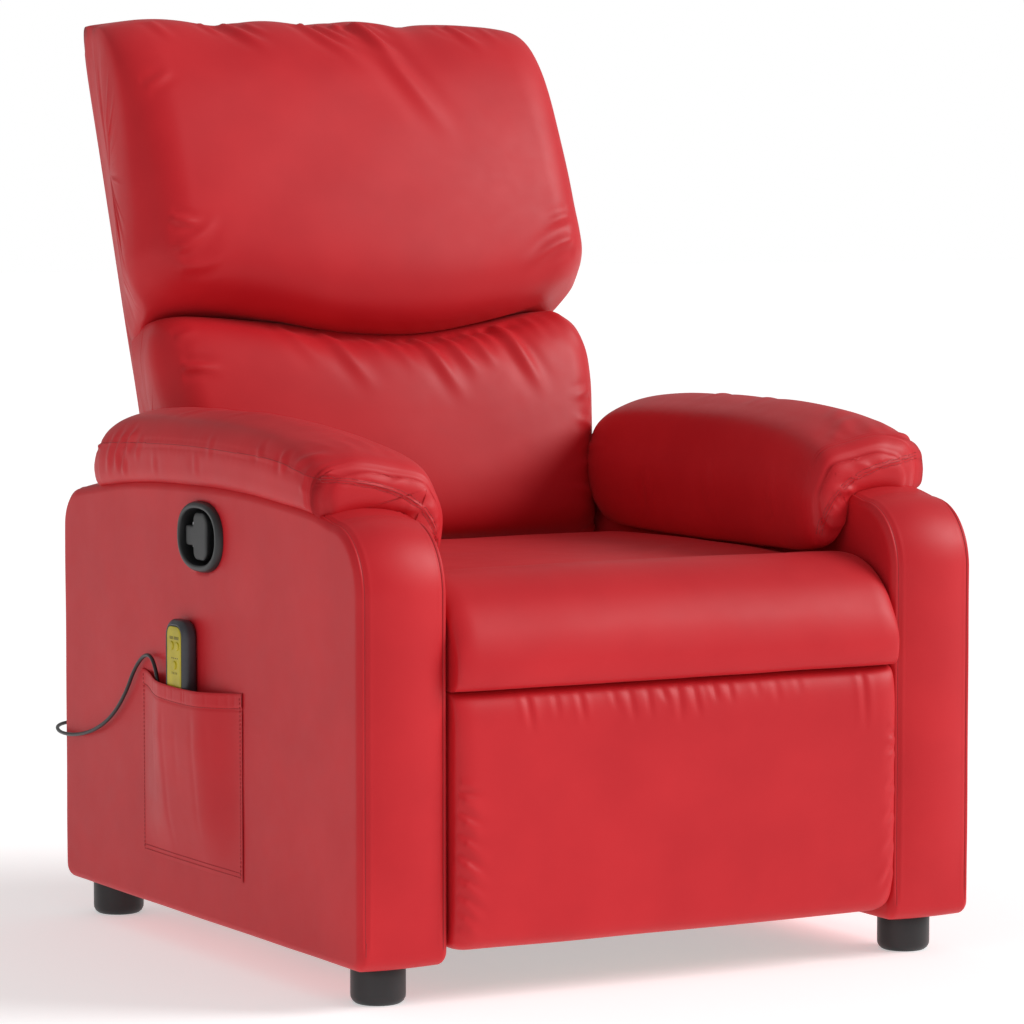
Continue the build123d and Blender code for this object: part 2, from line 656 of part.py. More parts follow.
HEAD_FROM = LUMBAR_TO + 2
with BuildPart() as head_cushion:
    with BuildSketch(Plane.YZ.offset(-SEAT_HALF)):
        with BuildLine():
            Line(back_point(640, HEAD_FRONT), back_point(HEAD_FROM + 52, HEAD_FRONT))
            ThreePointArc(
                back_point(HEAD_FROM + 52, HEAD_FRONT), back_point(HEAD_FROM + 15, HEAD_FRONT - 15),
                back_point(HEAD_FROM, HEAD_FRONT - 54),
            )
            Polyline(
                back_point(HEAD_FROM, HEAD_FRONT - 54), back_point(HEAD_FROM, BEHIND),
                back_point(BACK_LENGTH - 3, BEHIND),
            )
            ThreePointArc(
                back_point(BACK_LENGTH - 3, BEHIND), back_point(722, 143),
                back_point(640, HEAD_FRONT),
            )
        make_face()
    extrude(amount=2 * SEAT_HALF)
    fillet(head_cushion.faces().filter_by(Axis.X).edges(), 20)
export(head_cushion.part, "head_cushion")


# ---- footrest linkage -------------------------------------------------------------------------
def layer(side, number):
    """Start plane and thickness of a bar layer, counted inwards from the side plates."""
    outer = PLATE_X - 1 - (number - 1) * LAYER
    return across(side, outer - BAR_THICK, outer)


def slope(start, end):
    return degrees(atan2(end[1] - start[1], end[0] - start[0]))


def middle_of(start, end):
    return ((start[0] + end[0]) / 2, (start[1] + end[1]) / 2)


def rivet(side, at, inner, outer, radius=PIN):
    plane, length = across(side, inner, outer)
    with BuildSketch(plane) as outline:
        with Locations(at):
            Circle(radius)
    extrude(outline.sketch, amount=length)


def bar(side, number, start, end, holes):
    plane, length = layer(side, number)
    with BuildSketch(plane) as outline:
        with Locations(middle_of(start, end)):
            SlotCenterToCenter(BAR, BAR_WIDTH, rotation=slope(start, end))
        for hole in holes:
            with Locations(hole):
                Circle(PIN + RUN, mode=Mode.SUBTRACT)
    extrude(outline.sketch, amount=length)


LAYER_2_IN = PLATE_X - 1 - LAYER - BAR_THICK
LAYER_4_IN = LAYER_2_IN - 2 * LAYER
STAY_EYE = 9.0
STAY_ARM = 124.4
stay_angle = radians(-89.61)
STAY_END = (STAY_TOP[0] + STAY_ARM * cos(stay_angle), STAY_TOP[1] + STAY_ARM * sin(stay_angle))

for name, side in LEFT_RIGHT:
    with BuildPart() as lift_bar:
        bar(side, 1, MAIN_PIVOT, TIP_A, [])
        rivet(side, MID_AC, LAYER_2_IN - 0.5, PLATE_X - 2)
        rivet(side, TIP_A, LAYER_2_IN - 0.5, PLATE_X - 2)
        rivet(side, MAIN_PIVOT, PLATE_X - 2, PLATE_X + PLATE + 1, HINGE_STUB)
    export(lift_bar.part, f"lift_bar_{name}")

    with BuildPart() as slide_bar:
        bar(side, 2, SLIDER, TIP_C, [MID_AC])
        rivet(side, SLIDER, PLATE_X - 1 - LAYER - 1, PLATE_X + PLATE + 1)
        rivet(side, TIP_C, PLATE_X - 1 - LAYER - 1, PLATE_X - 0.6)
    export(slide_bar.part, f"slide_bar_{name}")

    with BuildPart() as lower_bar:
        bar(side, 2, TIP_A, TIP_B, [TIP_A, MID_BD])
        rivet(side, TIP_B, LAYER_4_IN - 0.5, LAYER_2_IN + 1, 3)
    export(lower_bar.part, f"lower_bar_{name}")

    with BuildPart() as front_bar:
        bar(side, 1, TIP_C, TIP_D, [TIP_C, TIP_D])
        rivet(side, MID_BD, LAYER_2_IN - 0.5, PLATE_X - 2)
    export(front_bar.part, f"front_bar_{name}")

    plane, length = layer(side, 4)
    with BuildPart() as stay:
        with BuildSketch(plane):
            with Locations(middle_of(STAY_TOP, STAY_END)):
                SlotCenterToCenter(STAY_ARM, 13, rotation=slope(STAY_TOP, STAY_END))
            with Locations(STAY_END):
                Circle(STAY_EYE + 4)
                Circle(STAY_EYE, mode=Mode.SUBTRACT)
            with Locations(STAY_TOP):
                Circle(PIN + RUN, mode=Mode.SUBTRACT)
        extrude(amount=length)
    export(stay.part, f"stay_{name}")

with BuildPart() as torsion_tube:
    with BuildSketch(Plane.YZ.offset(-(PLATE_X - 1 - BAR_THICK))):
        with Locations(MAIN_PIVOT):
            Circle(10)
            Circle(8, mode=Mode.SUBTRACT)
    extrude(amount=2 * (PLATE_X - 1 - BAR_THICK))
export(torsion_tube.part, "torsion_tube")

# ---- footrest ------------------------------------------------------------------------------------
BOARD_BACK = FRONT + 40.0
BOARD_THICK = 15.0
REST_TOP = 333.0
REST_BOTTOM = 55.0
REST_FRONT = FRONT - 34.0
with BuildPart() as footrest_board:
    with BuildSketch(Plane.XZ.offset(-BOARD_BACK)):
        with Locations((0, (REST_TOP + REST_BOTTOM) / 2)):
            RectangleRounded(540, REST_TOP - REST_BOTTOM - 8, 10)
    extrude(amount=BOARD_THICK)
export(footrest_board.part, "footrest_board")

with BuildPart() as footrest_pad:
    with BuildSketch(Plane.XZ.offset(-(BOARD_BACK - BOARD_THICK - 0.2))):
        with Locations((0, (REST_TOP + REST_BOTTOM) / 2)):
            Rectangle(2 * SEAT_HALF, REST_TOP - REST_BOTTOM)
    extrude(amount=BOARD_BACK - BOARD_THICK - 0.2 - REST_FRONT)
    front = footrest_pad.faces().sort_by(Axis.Y)[0]
    fillet(front.edges(), 28)
export(footrest_pad.part, "footrest_pad")

for name, side in LEFT_RIGHT:
    plane, length = layer(side, 3)
    bracket_in = PLATE_X - 1 - 2 * LAYER - BAR_THICK
    with BuildPart() as rest_bracket:
        with BuildSketch(plane):
            with BuildLine():
                Polyline(
                    (BOARD_BACK, 262), (BOARD_BACK + 10, 262), (STAY_TOP[0] + 8, STAY_TOP[1] - 4),
                    (TIP_D[0] + 8, TIP_D[1] - 3), (TIP_D[0], TIP_D[1] + 8),
                    (BOARD_BACK, TIP_D[1] + 8), (BOARD_BACK, 262),
                )
            make_face()
            with Locations(TIP_D, STAY_TOP):
                Circle(8)
        extrude(amount=length)
        foot_plane, foot_length = across(side, bracket_in - 22, bracket_in)
        with BuildSketch(foot_plane):
            with Locations((BOARD_BACK + 1.25, 297)):
                Rectangle(2.5, 66)
        extrude(amount=foot_length)
        rivet(side, TIP_D, bracket_in + BAR_THICK, PLATE_X - 1 - BAR_THICK - 0.5, 6)
        rivet(side, TIP_D, bracket_in + BAR_THICK, PLATE_X - 0.6)
        rivet(side, STAY_TOP, LAYER_4_IN - 0.5, bracket_in)
    export(rest_bracket.part, f"rest_bracket_{name}")
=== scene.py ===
"""Looks of the red recliner massage chair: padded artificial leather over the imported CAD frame.
All lengths are in metres. -Y is the chair's front, +X the sitter's left, Z is up."""
import json
import math
import random

import bpy
import numpy as np
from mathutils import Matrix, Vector
from mathutils.bvhtree import BVHTree


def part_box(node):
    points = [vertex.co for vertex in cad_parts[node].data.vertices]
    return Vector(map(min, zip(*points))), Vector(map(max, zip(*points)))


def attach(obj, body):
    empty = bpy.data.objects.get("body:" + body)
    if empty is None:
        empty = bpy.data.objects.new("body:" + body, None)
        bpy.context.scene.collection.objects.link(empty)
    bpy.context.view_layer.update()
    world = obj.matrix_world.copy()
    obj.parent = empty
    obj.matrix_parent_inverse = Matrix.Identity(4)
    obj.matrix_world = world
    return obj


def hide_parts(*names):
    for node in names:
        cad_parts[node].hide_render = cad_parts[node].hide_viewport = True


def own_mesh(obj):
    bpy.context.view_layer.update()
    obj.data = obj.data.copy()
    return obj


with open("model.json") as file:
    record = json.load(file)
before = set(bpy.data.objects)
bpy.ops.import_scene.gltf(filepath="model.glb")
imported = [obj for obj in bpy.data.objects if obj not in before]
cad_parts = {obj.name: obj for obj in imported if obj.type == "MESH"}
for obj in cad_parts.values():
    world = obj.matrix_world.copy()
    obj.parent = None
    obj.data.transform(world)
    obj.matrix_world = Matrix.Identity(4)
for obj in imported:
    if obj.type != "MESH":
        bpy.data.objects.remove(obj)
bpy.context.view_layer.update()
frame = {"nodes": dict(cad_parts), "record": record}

# ---- places taken from the CAD frame -------------------------------------------------------------
arm_low, arm_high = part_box("arm_cover_left")
FRONT = arm_low.y + 0.015            # Y that distances towards the rear are counted from
HALF_WIDTH = arm_high.x              # X of the arms' outer faces
INNER = HALF_WIDTH - 0.108           # X of the arms' inner faces
SEAT_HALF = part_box("seat_cushion")[1].x
LEAN = math.radians(19.65)           # lean of the back from upright
BACK_FOOT = Vector((0, FRONT + 0.688, 0.335))
MM = 0.001


# ---- camera --------------------------------------------------------------------------------------
CAMERA_PLACE = (-2.545, FRONT - 4.1649, 0.8947)
CAMERA_DOWN = math.radians(4.4232)   # how far it looks below level
CAMERA_TURN = math.radians(-29.4005)
CAMERA_LENS = 157.29                 # mm, on a sensor 36 mm wide


def make_camera():
    """Camera in front of the chair, on the sitter's right."""
    data = bpy.data.cameras.new("camera")
    data.sensor_width = 36.0
    data.lens = CAMERA_LENS
    data.clip_end = 60.0
    camera = bpy.data.objects.new("camera", data)
    bpy.context.scene.collection.objects.link(camera)
    camera.location = CAMERA_PLACE
    camera.rotation_euler = (math.pi / 2 - CAMERA_DOWN, 0, CAMERA_TURN)
    bpy.context.scene.camera = camera


make_camera()


# ---- node materials ------------------------------------------------------------------------------
def new_material(name, color, roughness, metallic=0.0):
    material = bpy.data.materials.new(name)
    material.use_nodes = True
    shader = material.node_tree.nodes["Principled BSDF"]
    shader.inputs["Base Color"].default_value = (*color, 1)
    shader.inputs["Roughness"].default_value = roughness
    shader.inputs["Metallic"].default_value = metallic
    return material, material.node_tree, shader


def noise_node(tree, scale, detail=3.0, rough=0.5, distortion=0.0):
    coords = tree.nodes.new("ShaderNodeTexCoord")
    noise = tree.nodes.new("ShaderNodeTexNoise")
    noise.inputs["Scale"].default_value = scale
    noise.inputs["Detail"].default_value = detail
    noise.inputs["Roughness"].default_value = rough
    noise.inputs["Distortion"].default_value = distortion
    tree.links.new(coords.outputs["Object"], noise.inputs["Vector"])
    return noise


def cells_node(tree, scale):
    coords = tree.nodes.new("ShaderNodeTexCoord")
    cells = tree.nodes.new("ShaderNodeTexVoronoi")
    cells.feature = "DISTANCE_TO_EDGE"
    cells.inputs["Scale"].default_value = scale
    tree.links.new(coords.outputs["Object"], cells.inputs["Vector"])
    return cells


def bump_chain(tree, shader, layers):
    """Stack bump layers (socket, strength, distance) into the shader's normal."""
    previous = None
    for socket, strength, distance in layers:
        bump = tree.nodes.new("ShaderNodeBump")
        bump.inputs["Strength"].default_value = strength
        bump.inputs["Distance"].default_value = distance
        tree.links.new(socket, bump.inputs["Height"])
        if previous is not None:
            tree.links.new(previous.outputs["Normal"], bump.inputs["Normal"])
        previous = bump
    tree.links.new(previous.outputs["Normal"], shader.inputs["Normal"])


def vary_color(tree, shader, noise, dark, light, low=0.35, high=0.65):
    ramp = tree.nodes.new("ShaderNodeValToRGB")
    ramp.color_ramp.elements[0].position = low
    ramp.color_ramp.elements[0].color = (*dark, 1)
    ramp.color_ramp.elements[1].position = high
    ramp.color_ramp.elements[1].color = (*light, 1)
    tree.links.new(noise.outputs["Fac"], ramp.inputs["Fac"])
    tree.links.new(ramp.outputs["Color"], shader.inputs["Base Color"])


def vary_roughness(tree, shader, noise, low, high):
    spread = tree.nodes.new("ShaderNodeMapRange")
    spread.inputs["To Min"].default_value = low
    spread.inputs["To Max"].default_value = high
    tree.links.new(noise.outputs["Fac"], spread.inputs["Value"])
    tree.links.new(spread.outputs["Result"], shader.inputs["Roughness"])


def make_leather():
    """Smooth red artificial leather: fine pebble grain, faint mottling, satin gloss."""
    material, tree, shader = new_material("red_leather", (0.58, 0.012, 0.019), 0.4)
    shader.inputs["Specular IOR Level"].default_value = 0.28
    shader.inputs["Sheen Weight"].default_value = 0.03
    shader.inputs["Sheen Roughness"].default_value = 0.45
    mottle = noise_node(tree, 9.0, detail=4.0)
    vary_color(tree, shader, mottle, (0.545, 0.01, 0.017), (0.6, 0.014, 0.021))
    gloss = noise_node(tree, 45.0, detail=2.0)
    vary_roughness(tree, shader, gloss, 0.43, 0.52)
    grain = cells_node(tree, 1100.0)
    fine = noise_node(tree, 2600.0, detail=1.0)
    bump_chain(tree, shader, [
        (grain.outputs["Distance"], 0.22, 0.00025),
        (fine.outputs["Fac"], 0.12, 0.0001),
    ])
    return material


def make_thread():
    material, tree, shader = new_material("red_thread", (0.36, 0.012, 0.018), 0.6)
    fuzz = noise_node(tree, 1800.0)
    vary_color(tree, shader, fuzz, (0.3, 0.01, 0.014), (0.42, 0.018, 0.024))
    bump_chain(tree, shader, [(fuzz.outputs["Fac"], 0.3, 0.0002)])
    return material


def make_plastic(name, color, roughness):
    """Moulded plastic with a fine spark-eroded texture."""
    material, tree, shader = new_material(name, color, roughness)
    mottle = noise_node(tree, 30.0)
    light = tuple(min(1.0, c * 1.25 + 0.002) for c in color)
    vary_color(tree, shader, mottle, color, light)
    grain = noise_node(tree, 1500.0, detail=2.0)
    bump_chain(tree, shader, [(grain.outputs["Fac"], 0.25, 0.00015)])
    return material


def make_metal(name, color, roughness, brushed):
    material, tree, shader = new_material(name, color, roughness, 1.0 if brushed else 0.0)
    streak = noise_node(tree, 220.0, detail=4.0, distortion=0.6)
    light = tuple(min(1.0, c * 1.2) for c in color)
    vary_color(tree, shader, streak, color, light)
    vary_roughness(tree, shader, streak, roughness * 0.85, roughness * 1.2)
    bump_chain(tree, shader, [(streak.outputs["Fac"], 0.15, 0.0002)])
    return material


def make_wood():
    """Rotary-cut plywood: long wavy grain over pale birch."""
    material, tree, shader = new_material("plywood", (0.55, 0.38, 0.22), 0.55)
    coords = tree.nodes.new("ShaderNodeTexCoord")
    stretch = tree.nodes.new("ShaderNodeMapping")
    stretch.inputs["Scale"].default_value = (6.0, 40.0, 40.0)
    wave = tree.nodes.new("ShaderNodeTexNoise")
    wave.inputs["Scale"].default_value = 3.0
    wave.inputs["Detail"].default_value = 6.0
    wave.inputs["Distortion"].default_value = 1.2
    tree.links.new(coords.outputs["Object"], stretch.inputs["Vector"])
    tree.links.new(stretch.outputs["Vector"], wave.inputs["Vector"])
    vary_color(tree, shader, wave, (0.42, 0.27, 0.14), (0.66, 0.48, 0.3))
    bump_chain(tree, shader, [(wave.outputs["Fac"], 0.2, 0.0004)])
    return material


def make_webbing():
    """Woven elastic strap: fine cross weave."""
    material, tree, shader = new_material("webbing", (0.02, 0.02, 0.022), 0.85)
    coords = tree.nodes.new("ShaderNodeTexCoord")
    weave = tree.nodes.new("ShaderNodeTexChecker")
    weave.inputs["Scale"].default_value = 500.0
    weave.inputs["Color1"].default_value = (0.016, 0.016, 0.018, 1)
    weave.inputs["Color2"].default_value = (0.045, 0.045, 0.05, 1)
    tree.links.new(coords.outputs["Object"], weave.inputs["Vector"])
    tree.links.new(weave.outputs["Color"], shader.inputs["Base Color"])
    bump_chain(tree, shader, [(weave.outputs["Fac"], 0.4, 0.0004)])
    return material


LEATHER = make_leather()
THREAD = make_thread()
BLACK = make_plastic("black_plastic", (0.012, 0.012, 0.013), 0.42)
HANDSET_GREY = make_plastic("handset_grey", (0.035, 0.037, 0.045), 0.38)
MEMBRANE = make_plastic("yellow_membrane", (0.46, 0.37, 0.004), 0.45)
PRINT = make_plastic("dark_print", (0.10, 0.08, 0.01), 0.5)
RUBBER = make_plastic("cord_rubber", (0.008, 0.008, 0.009), 0.36)
STEEL = make_metal("painted_steel", (0.025, 0.025, 0.028), 0.4, False)
ZINC = make_metal("zinc_steel", (0.52, 0.53, 0.55), 0.34, True)
WOOD = make_wood()
WEBBING = make_webbing()


def paint_frame_nodes():
    """Give every CAD node that stays visible its finish."""
    finish = {
        "frame_wood": WOOD, "webbing": WEBBING, "steel": STEEL, "zinc": ZINC,
        "black_plastic": BLACK, "handset_plastic": HANDSET_GREY, "membrane": MEMBRANE,
        "key_rubber": MEMBRANE, "cord_rubber": RUBBER, "upholstery": LEATHER,
    }
    slots = {part["node"]: part["material_slot"] for part in frame["record"]["subparts"]}
    for node, obj in frame["nodes"].items():
        obj.data.materials.clear()
        obj.data.materials.append(finish[slots[node]])


paint_frame_nodes()


# ---- cord ----------------------------------------------------------------------------------------
PANEL = -HALF_WIDTH                  # X of the right arm's side panel
CORD_POINTS = [
    (PANEL - 0.0077, FRONT + 0.403, 0.236),
    (PANEL - 0.0077, FRONT + 0.403, 0.206),
    (PANEL - 0.009, FRONT + 0.424, 0.18),
    (PANEL - 0.009, FRONT + 0.455, 0.19),
    (PANEL - 0.009, FRONT + 0.467, 0.226),
    (PANEL - 0.009, FRONT + 0.461, 0.268),
    (PANEL - 0.009, FRONT + 0.464, 0.308),
    (PANEL - 0.008, FRONT + 0.482, 0.334),
    (PANEL - 0.0057, FRONT + 0.509, 0.334),
    (PANEL - 0.0057, FRONT + 0.537, 0.314),
    (PANEL - 0.0057, FRONT + 0.562, 0.282),
    (PANEL - 0.0057, FRONT + 0.601, 0.251),
    (PANEL - 0.0067, FRONT + 0.651, 0.229),
    (PANEL - 0.0077, FRONT + 0.706, 0.218),
    (PANEL - 0.0077, FRONT + 0.752, 0.217),
    (PANEL + 0.008, FRONT + 0.793, 0.221),
    (PANEL + 0.05, FRONT + 0.812, 0.222),
    (PANEL + 0.1, FRONT + 0.804, 0.203),
    (PANEL + 0.15, FRONT + 0.788, 0.17),
    (PANEL + 0.188, FRONT + 0.768, 0.141),
    (PANEL + 0.202, FRONT + 0.745, 0.128),
    (PANEL + 0.202, FRONT + 0.719, 0.128),
]
CORD_DIAMETER = 0.0044


def make_cord():
    """Handset cord: from the handset out of the pocket, round the arm's rear edge to the control box."""
    curve = bpy.data.curves.new("handset_lead", "CURVE")
    curve.dimensions = "3D"
    curve.bevel_depth = CORD_DIAMETER / 2
    curve.bevel_resolution = 4
    curve.resolution_u = 12
    spline = curve.splines.new("NURBS")
    spline.points.add(len(CORD_POINTS) - 1)
    for target, point in zip(spline.points, CORD_POINTS):
        target.co = (*point, 1)
    spline.order_u = 3
    spline.use_endpoint_u = True
    curve.materials.append(RUBBER)
    cord = bpy.data.objects.new("handset_lead", curve)
    bpy.context.scene.collection.objects.link(cord)
    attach(cord, "base")
    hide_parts("handset_cord")


make_cord()


# ---- mesh tools ----------------------------------------------------------------------------------
def unit(v):
    return v / np.maximum(np.linalg.norm(v, axis=-1, keepdims=True), 1e-12)


def smooth_line(points, per=8, closed=False):
    """Catmull-Rom line through a few points."""
    p = np.asarray(points, float)
    if closed:
        p = np.vstack([p[-1:], p, p[:2]])
    else:
        p = np.vstack([2 * p[0] - p[1], p, 2 * p[-1] - p[-2]])
    out = []
    for k in range(1, len(p) - 2):
        t = np.linspace(0, 1, per, endpoint=False)[:, None]
        out.append(0.5 * (
            2 * p[k] + (p[k + 1] - p[k - 1]) * t
            + (2 * p[k - 1] - 5 * p[k] + 4 * p[k + 1] - p[k + 2]) * t**2
            + (3 * p[k] - p[k - 1] - 3 * p[k + 1] + p[k + 2]) * t**3
        ))
    if not closed:
        out.append(p[-2:-1])
    return np.vstack(out)


def even(points, count, closed=False):
    """A line's points moved to even spacing."""
    points = np.asarray(points, float)
    if closed:
        points = np.vstack([points, points[:1]])
    steps = np.linalg.norm(np.diff(points, axis=0), axis=1)
    walked = np.concatenate([[0], np.cumsum(steps)])
    at = np.linspace(0, walked[-1], count, endpoint=not closed)
    return np.stack([np.interp(at, walked, column) for column in points.T], -1)


def spaced(points, spacing):
    """A line's points at about a given spacing."""
    length = np.linalg.norm(np.diff(points, axis=0), axis=1).sum()
    return even(points, max(2, int(length / spacing) + 1))


def between(stations, at):
    """Smooth values between stations: each row is a place and then its values."""
    table = np.asarray(stations, float)
    places, values = table[:, 0], table[:, 1:]
    dense = smooth_line(np.column_stack([places, values]), 12)
    order = np.argsort(dense[:, 0])
    return np.stack([np.interp(at, dense[order, 0], dense[order, k + 1])
                     for k in range(values.shape[1])], -1)


def soft_noise(points, scale, seed):
    """Smooth seeded noise: a few sine waves in random directions."""
    rng = np.random.default_rng(seed)
    total = np.zeros(len(points))
    for _ in range(9):
        direction = unit(rng.normal(size=3))
        total += np.sin(points @ direction * (rng.uniform(0.6, 1.7) / scale * 2 * math.pi)
                        + rng.uniform(0, 6.28))
    return total / 9


class Skin:
    """A soft piece while it is being shaped: its points, faces and a tree to find its surface."""

    def __init__(self, rows, turn_out=False, hubs=(True, True)):
        rows = np.asarray(rows, float)
        n, m = rows.shape[:2]
        index = np.arange(n * m).reshape(n, m)
        a, b = index[:-1], index[1:]
        self.quads = np.stack([a, np.roll(a, -1, 1), np.roll(b, -1, 1), b], -1).reshape(-1, 4)
        self.points = rows.reshape(-1, 3).copy()
        self.fans = []
        for ring, wanted in ((0, hubs[0]), (n - 1, hubs[1])):
            if not wanted:
                continue
            self.points = np.vstack([self.points, rows[ring].mean(0)])
            hub = len(self.points) - 1
            here = index[ring]
            after = np.roll(here, -1)
            pair = (after, here) if ring == 0 else (here, after)
            self.fans.append(np.stack([np.full(m, hub), *pair], -1))
        if turn_out:
            self.quads = self.quads[:, ::-1]
            self.fans = [fan[:, ::-1] for fan in self.fans]
        self.refresh()

    def refresh(self):
        """Find normals and the surface tree again after the points have moved."""
        p, q = self.points, self.quads
        across = np.cross(p[q[:, 2]] - p[q[:, 0]], p[q[:, 3]] - p[q[:, 1]])
        self.normals = np.zeros_like(p)
        for corner in range(4):
            np.add.at(self.normals, q[:, corner], across)
        for fan in self.fans:
            side = np.cross(p[fan[:, 1]] - p[fan[:, 0]], p[fan[:, 2]] - p[fan[:, 0]])
            for corner in range(3):
                np.add.at(self.normals, fan[:, corner], side)
        self.normals = unit(self.normals)
        self.tree = BVHTree.FromPolygons(p.tolist(), q.tolist())

    def land(self, line, direction=None, spacing=4 * MM):
        """A line's points brought onto the surface, along a direction or to the nearest place."""
        found = []
        line = spaced(smooth_line(line, 8), spacing)
        for point in line:
            if direction is None:
                hit = self.tree.find_nearest(Vector(point))[0]
            else:
                way = Vector(direction)
                hit = self.tree.ray_cast(Vector(point) - way * 0.5, way)[0]
            if hit is not None:
                found.append(tuple(hit))
        return np.array(found)

    def near(self, line, reach):
        """Indices of points near a line, their distance from it and their share along it."""
        p = self.points
        inside = np.all((p > line.min(0) - reach) & (p < line.max(0) + reach), axis=1)
        chosen = np.nonzero(inside)[0]
        q = p[chosen]
        steps = np.linalg.norm(np.diff(line, axis=0), axis=1)
        walked = np.concatenate([[0], np.cumsum(steps)])
        away = np.full(len(q), 1e9)
        share = np.zeros(len(q))
        for start, end, step, before in zip(line[:-1], line[1:], steps, walked):
            t = np.clip((q - start) @ (end - start) / max(step * step, 1e-12), 0, 1)
            gap = np.linalg.norm(q - start - t[:, None] * (end - start), axis=1)
            closer = gap < away
            away[closer] = gap[closer]
            share[closer] = ((before + t * step) / max(walked[-1], 1e-9))[closer]
        kept = away < reach
        return chosen[kept], away[kept], share[kept]

    def crease(self, line, depth, width, ridge=0.45, fade=(0.3, 0.6)):
        """Press a valley with soft ridges beside it, fading in and out along its length."""
        if len(line) < 2:
            return
        chosen, away, share = self.near(line, width * 4.5)
        grow = np.clip(share / max(fade[0], 1e-3), 0, 1)
        shrink = np.clip((1 - share) / max(fade[1], 1e-3), 0, 1)
        strength = grow * grow * (3 - 2 * grow) * shrink * shrink * (3 - 2 * shrink)
        valley = np.exp(-((away / width) ** 2))
        beside = np.exp(-(((away - 2.1 * width) / (1.2 * width)) ** 2))
        move = depth * strength * (ridge * beside - valley)
        self.points[chosen] += self.normals[chosen] * move[:, None]

    def ripple(self, height, scale, seed):
        """Small uneven swells all over."""
        self.points += self.normals * (soft_noise(self.points, scale, seed) * height)[:, None]

    def press(self, line, direction, depth, width, ridge=0.6, fade=(0.3, 0.6), spacing=4 * MM):
        """Crease along a line that is first brought onto the surface; depth and width in mm."""
        self.crease(self.land(line, direction, spacing), depth * MM, width * MM, ridge=ridge, fade=fade)

    def make(self, name, material, body, slot, nodes=(), fill=None):
        faces = self.quads.tolist()
        for fan in self.fans:
            faces += fan.tolist()
        obj = mesh_object(name, self.points.tolist(), faces, material, body, nodes)
        return obj


def mesh_object(name, verts, faces, material, body, nodes=()):
    """A smooth piece that rides on a body and, where nodes are named, stands for them."""
    mesh = bpy.data.meshes.new(name)
    mesh.from_pydata([tuple(v) for v in verts], [], faces)
    mesh.polygons.foreach_set("use_smooth", [True] * len(mesh.polygons))
    mesh.materials.append(material)
    mesh.update()
    obj = bpy.data.objects.new(name, mesh)
    bpy.context.scene.collection.objects.link(obj)
    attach(obj, body)
    if nodes:
        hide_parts(*nodes)
    return obj


def tube_mesh(line, radius, sides=8):
    """Points and faces of a round bead along a line, drawn in at both ends."""
    line = np.asarray(line, float)
    along = unit(np.gradient(line, axis=0))
    side = np.cross(along[0], (0.3, 0.2, 1.0))
    verts, faces = [], []
    radii = np.full(len(line), radius)
    radii[0] = radii[-1] = radius * 0.2
    for point, way, reach in zip(line, along, radii):
        side = side - way * (side @ way)
        side = side / np.linalg.norm(side)
        other = np.cross(way, side)
        for turn in range(sides):
            angle = turn * 2 * math.pi / sides
            verts.append(point + reach * (math.cos(angle) * side + math.sin(angle) * other))
    last = len(line) - 1
    for k in range(last):
        here, after = k * sides, (k + 1) * sides
        for turn in range(sides):
            beside = (turn + 1) % sides
            faces.append((here + turn, here + beside, after + beside, after + turn))
    faces.append(tuple(range(sides))[::-1])
    faces.append(tuple(range(last * sides, (last + 1) * sides)))
    return verts, faces


class Threads:
    """Stitches and beads collected into one mesh."""

    def __init__(self):
        self.verts, self.faces = [], []

    def add(self, verts, faces):
        base = len(self.verts)
        self.verts += list(verts)
        self.faces += [tuple(base + v for v in face) for face in faces]

    def bead(self, line, radius):
        self.add(*tube_mesh(line, radius))

    def stitch(self, tree, line, spacing=4.6 * MM, length=3.4 * MM, radius=0.5 * MM):
        """A row of short threads lying on a surface, given by its tree, along a line."""
        line = spaced(line, spacing)
        for start, end in zip(line[:-1], line[1:]):
            middle = (start + end) / 2
            hit, out, *_ = tree.find_nearest(Vector(middle))
            out = np.array(out)
            along = unit(end - start)
            out = unit(out - along * (out @ along))
            side = np.cross(along, out)
            middle = np.array(hit)
            verts, faces = [], []
            for at, lift, wide in ((-0.5, -0.6, 0.5), (-0.28, 0.5, 1), (0.28, 0.5, 1), (0.5, -0.6, 0.5)):
                centre = middle + along * (at * length) + out * (lift * radius)
                for turn in range(6):
                    angle = turn * math.pi / 3
                    verts.append(centre + radius * wide
                                 * (math.cos(angle) * side + math.sin(angle) * out))
            for ring in range(3):
                for turn in range(6):
                    a, b = ring * 6 + turn, ring * 6 + (turn + 1) % 6
                    faces.append((a, b, b + 6, a + 6))
            faces.append((5, 4, 3, 2, 1, 0))
            faces.append((18, 19, 20, 21, 22, 23))
            self.add(verts, faces)

    def make(self, name, body):
        mesh_object(name, self.verts, self.faces, THREAD, body)


def offset_line(skin, line, distance):
    """A line beside another on a skin: positive is to the right when looking along it from outside."""
    along = unit(np.gradient(line, axis=0))
    moved = []
    for point, way in zip(line, along):
        hit, out, *_ = skin.tree.find_nearest(Vector(point))
        side = np.cross(way, np.array(out))
        near = skin.tree.find_nearest(Vector(point + side * distance))[0]
        moved.append(tuple(near))
    return np.array(moved)


def seam(skin, line, depth=1.6 * MM, width=2.2 * MM, ridge=0.6):
    """Press a seam into a skin along a landed line."""
    skin.crease(line, depth, width, ridge=ridge, fade=(0.01, 0.01))


